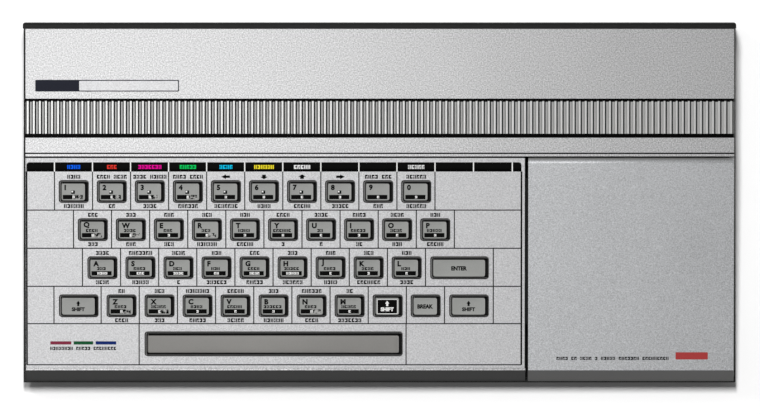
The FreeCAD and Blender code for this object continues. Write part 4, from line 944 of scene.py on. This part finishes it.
# Contacts on both faces of the board's tongue
CONTACTS = 27
FIRST_CONTACT = -128.0
CONTACT_PITCH = 2.54
CONTACT_HALF = 0.75
CONTACT_FRONT = 88.3
CONTACT_REAR = 93.7
CONTACT_FACES = ((12.59, 12.66), (10.94, 11.01))

keys()
collars()
domes()
sockets()
plate_print()
colour_marks()
badge()
door_print()


# Stage: floor, camera and light

FLOOR_REACH = 4.0


def stage_floor():
    """A plain white floor that takes the shadow."""
    shape = bmesh.new()
    bmesh.ops.create_grid(shape, x_segments=1, y_segments=1, size=FLOOR_REACH)
    mesh = bpy.data.meshes.new("floor")
    shape.to_mesh(mesh)
    shape.free()
    floor = bpy.data.objects.new("floor", mesh)
    bpy.context.scene.collection.objects.link(floor)
    pale = bpy.data.materials.new("pale floor")
    pale.use_nodes = True
    tree = pale.node_tree
    shader = tree.nodes["Principled BSDF"]
    shader.inputs["Base Color"].default_value = (1.0, 1.0, 1.0, 1)
    shader.inputs["Roughness"].default_value = 0.9
    shader.inputs["Specular IOR Level"].default_value = 0.0
    mesh.materials.append(pale)


def stage_camera():
    """A long lens straight above, framed like the photograph."""
    view = bpy.data.cameras.new("camera")
    width = PHOTO_WIDTH * PIXEL * MM
    view.sensor_width = 36.0
    view.lens = view.sensor_width * (CAMERA_HEIGHT - CASE_HEIGHT * MM) / width
    view.clip_end = 3 * CAMERA_HEIGHT
    camera = bpy.data.objects.new("camera", view)
    camera.location = (across(PHOTO_WIDTH / 2) * MM, behind(PHOTO_HEIGHT / 2) * MM, CAMERA_HEIGHT)
    bpy.context.scene.collection.objects.link(camera)
    bpy.context.scene.camera = camera


def area_light(name, place, target, size, length, power):
    light = bpy.data.lights.new(name, "AREA")
    light.shape = "RECTANGLE"
    light.size = size
    light.size_y = length
    light.energy = power
    lamp = bpy.data.objects.new(name, light)
    lamp.location = place
    lamp.rotation_euler = (Vector(target) - Vector(place)).to_track_quat("-Z", "Y").to_euler()
    bpy.context.scene.collection.objects.link(lamp)
    return lamp


SKY_ON_SURFACES = 0.13
SKY_IN_GLOSS = 0.25
# Each light: its place, what it faces, its width, its length and its power
HIGH_LIGHT = ((-0.08, 1.1, 4.0), (0, 0, 0), 0.4, 1.1, 155.0)
SIDE_LIGHT = ((-0.6, 0.5, 0.9), (-0.05, 0, 0), 0.3, 0.3, 3.0)
SOFT_BOX = ((-0.235, -0.06, 0.8), (-0.235, -0.06, 0), 0.54, 0.8, 1.76)


def stage_light():
    """A white sky behind, a high light for the shadows, and a soft box that the silver mirrors."""
    world = bpy.data.worlds.new("world")
    bpy.context.scene.world = world
    world.use_nodes = True
    sky = world.node_tree.nodes["Background"]
    sky.inputs["Color"].default_value = (1, 1, 1, 1)
    seen = world.node_tree.nodes.new("ShaderNodeLightPath")
    strength = world.node_tree.nodes.new("ShaderNodeMapRange")
    strength.inputs["To Min"].default_value = SKY_ON_SURFACES
    strength.inputs["To Max"].default_value = SKY_IN_GLOSS
    world.node_tree.links.new(seen.outputs["Is Glossy Ray"], strength.inputs["Value"])
    shown = math_node(world.node_tree, "MAXIMUM", strength.outputs[0],
                      seen.outputs["Is Camera Ray"])
    world.node_tree.links.new(shown, sky.inputs["Strength"])
    area_light("high light", *HIGH_LIGHT).visible_glossy = False
    area_light("side light", *SIDE_LIGHT).visible_glossy = False
    area_light("soft box", *SOFT_BOX).visible_diffuse = False
    bpy.context.scene.view_settings.view_transform = "Standard"


stage_floor()
stage_camera()
stage_light()
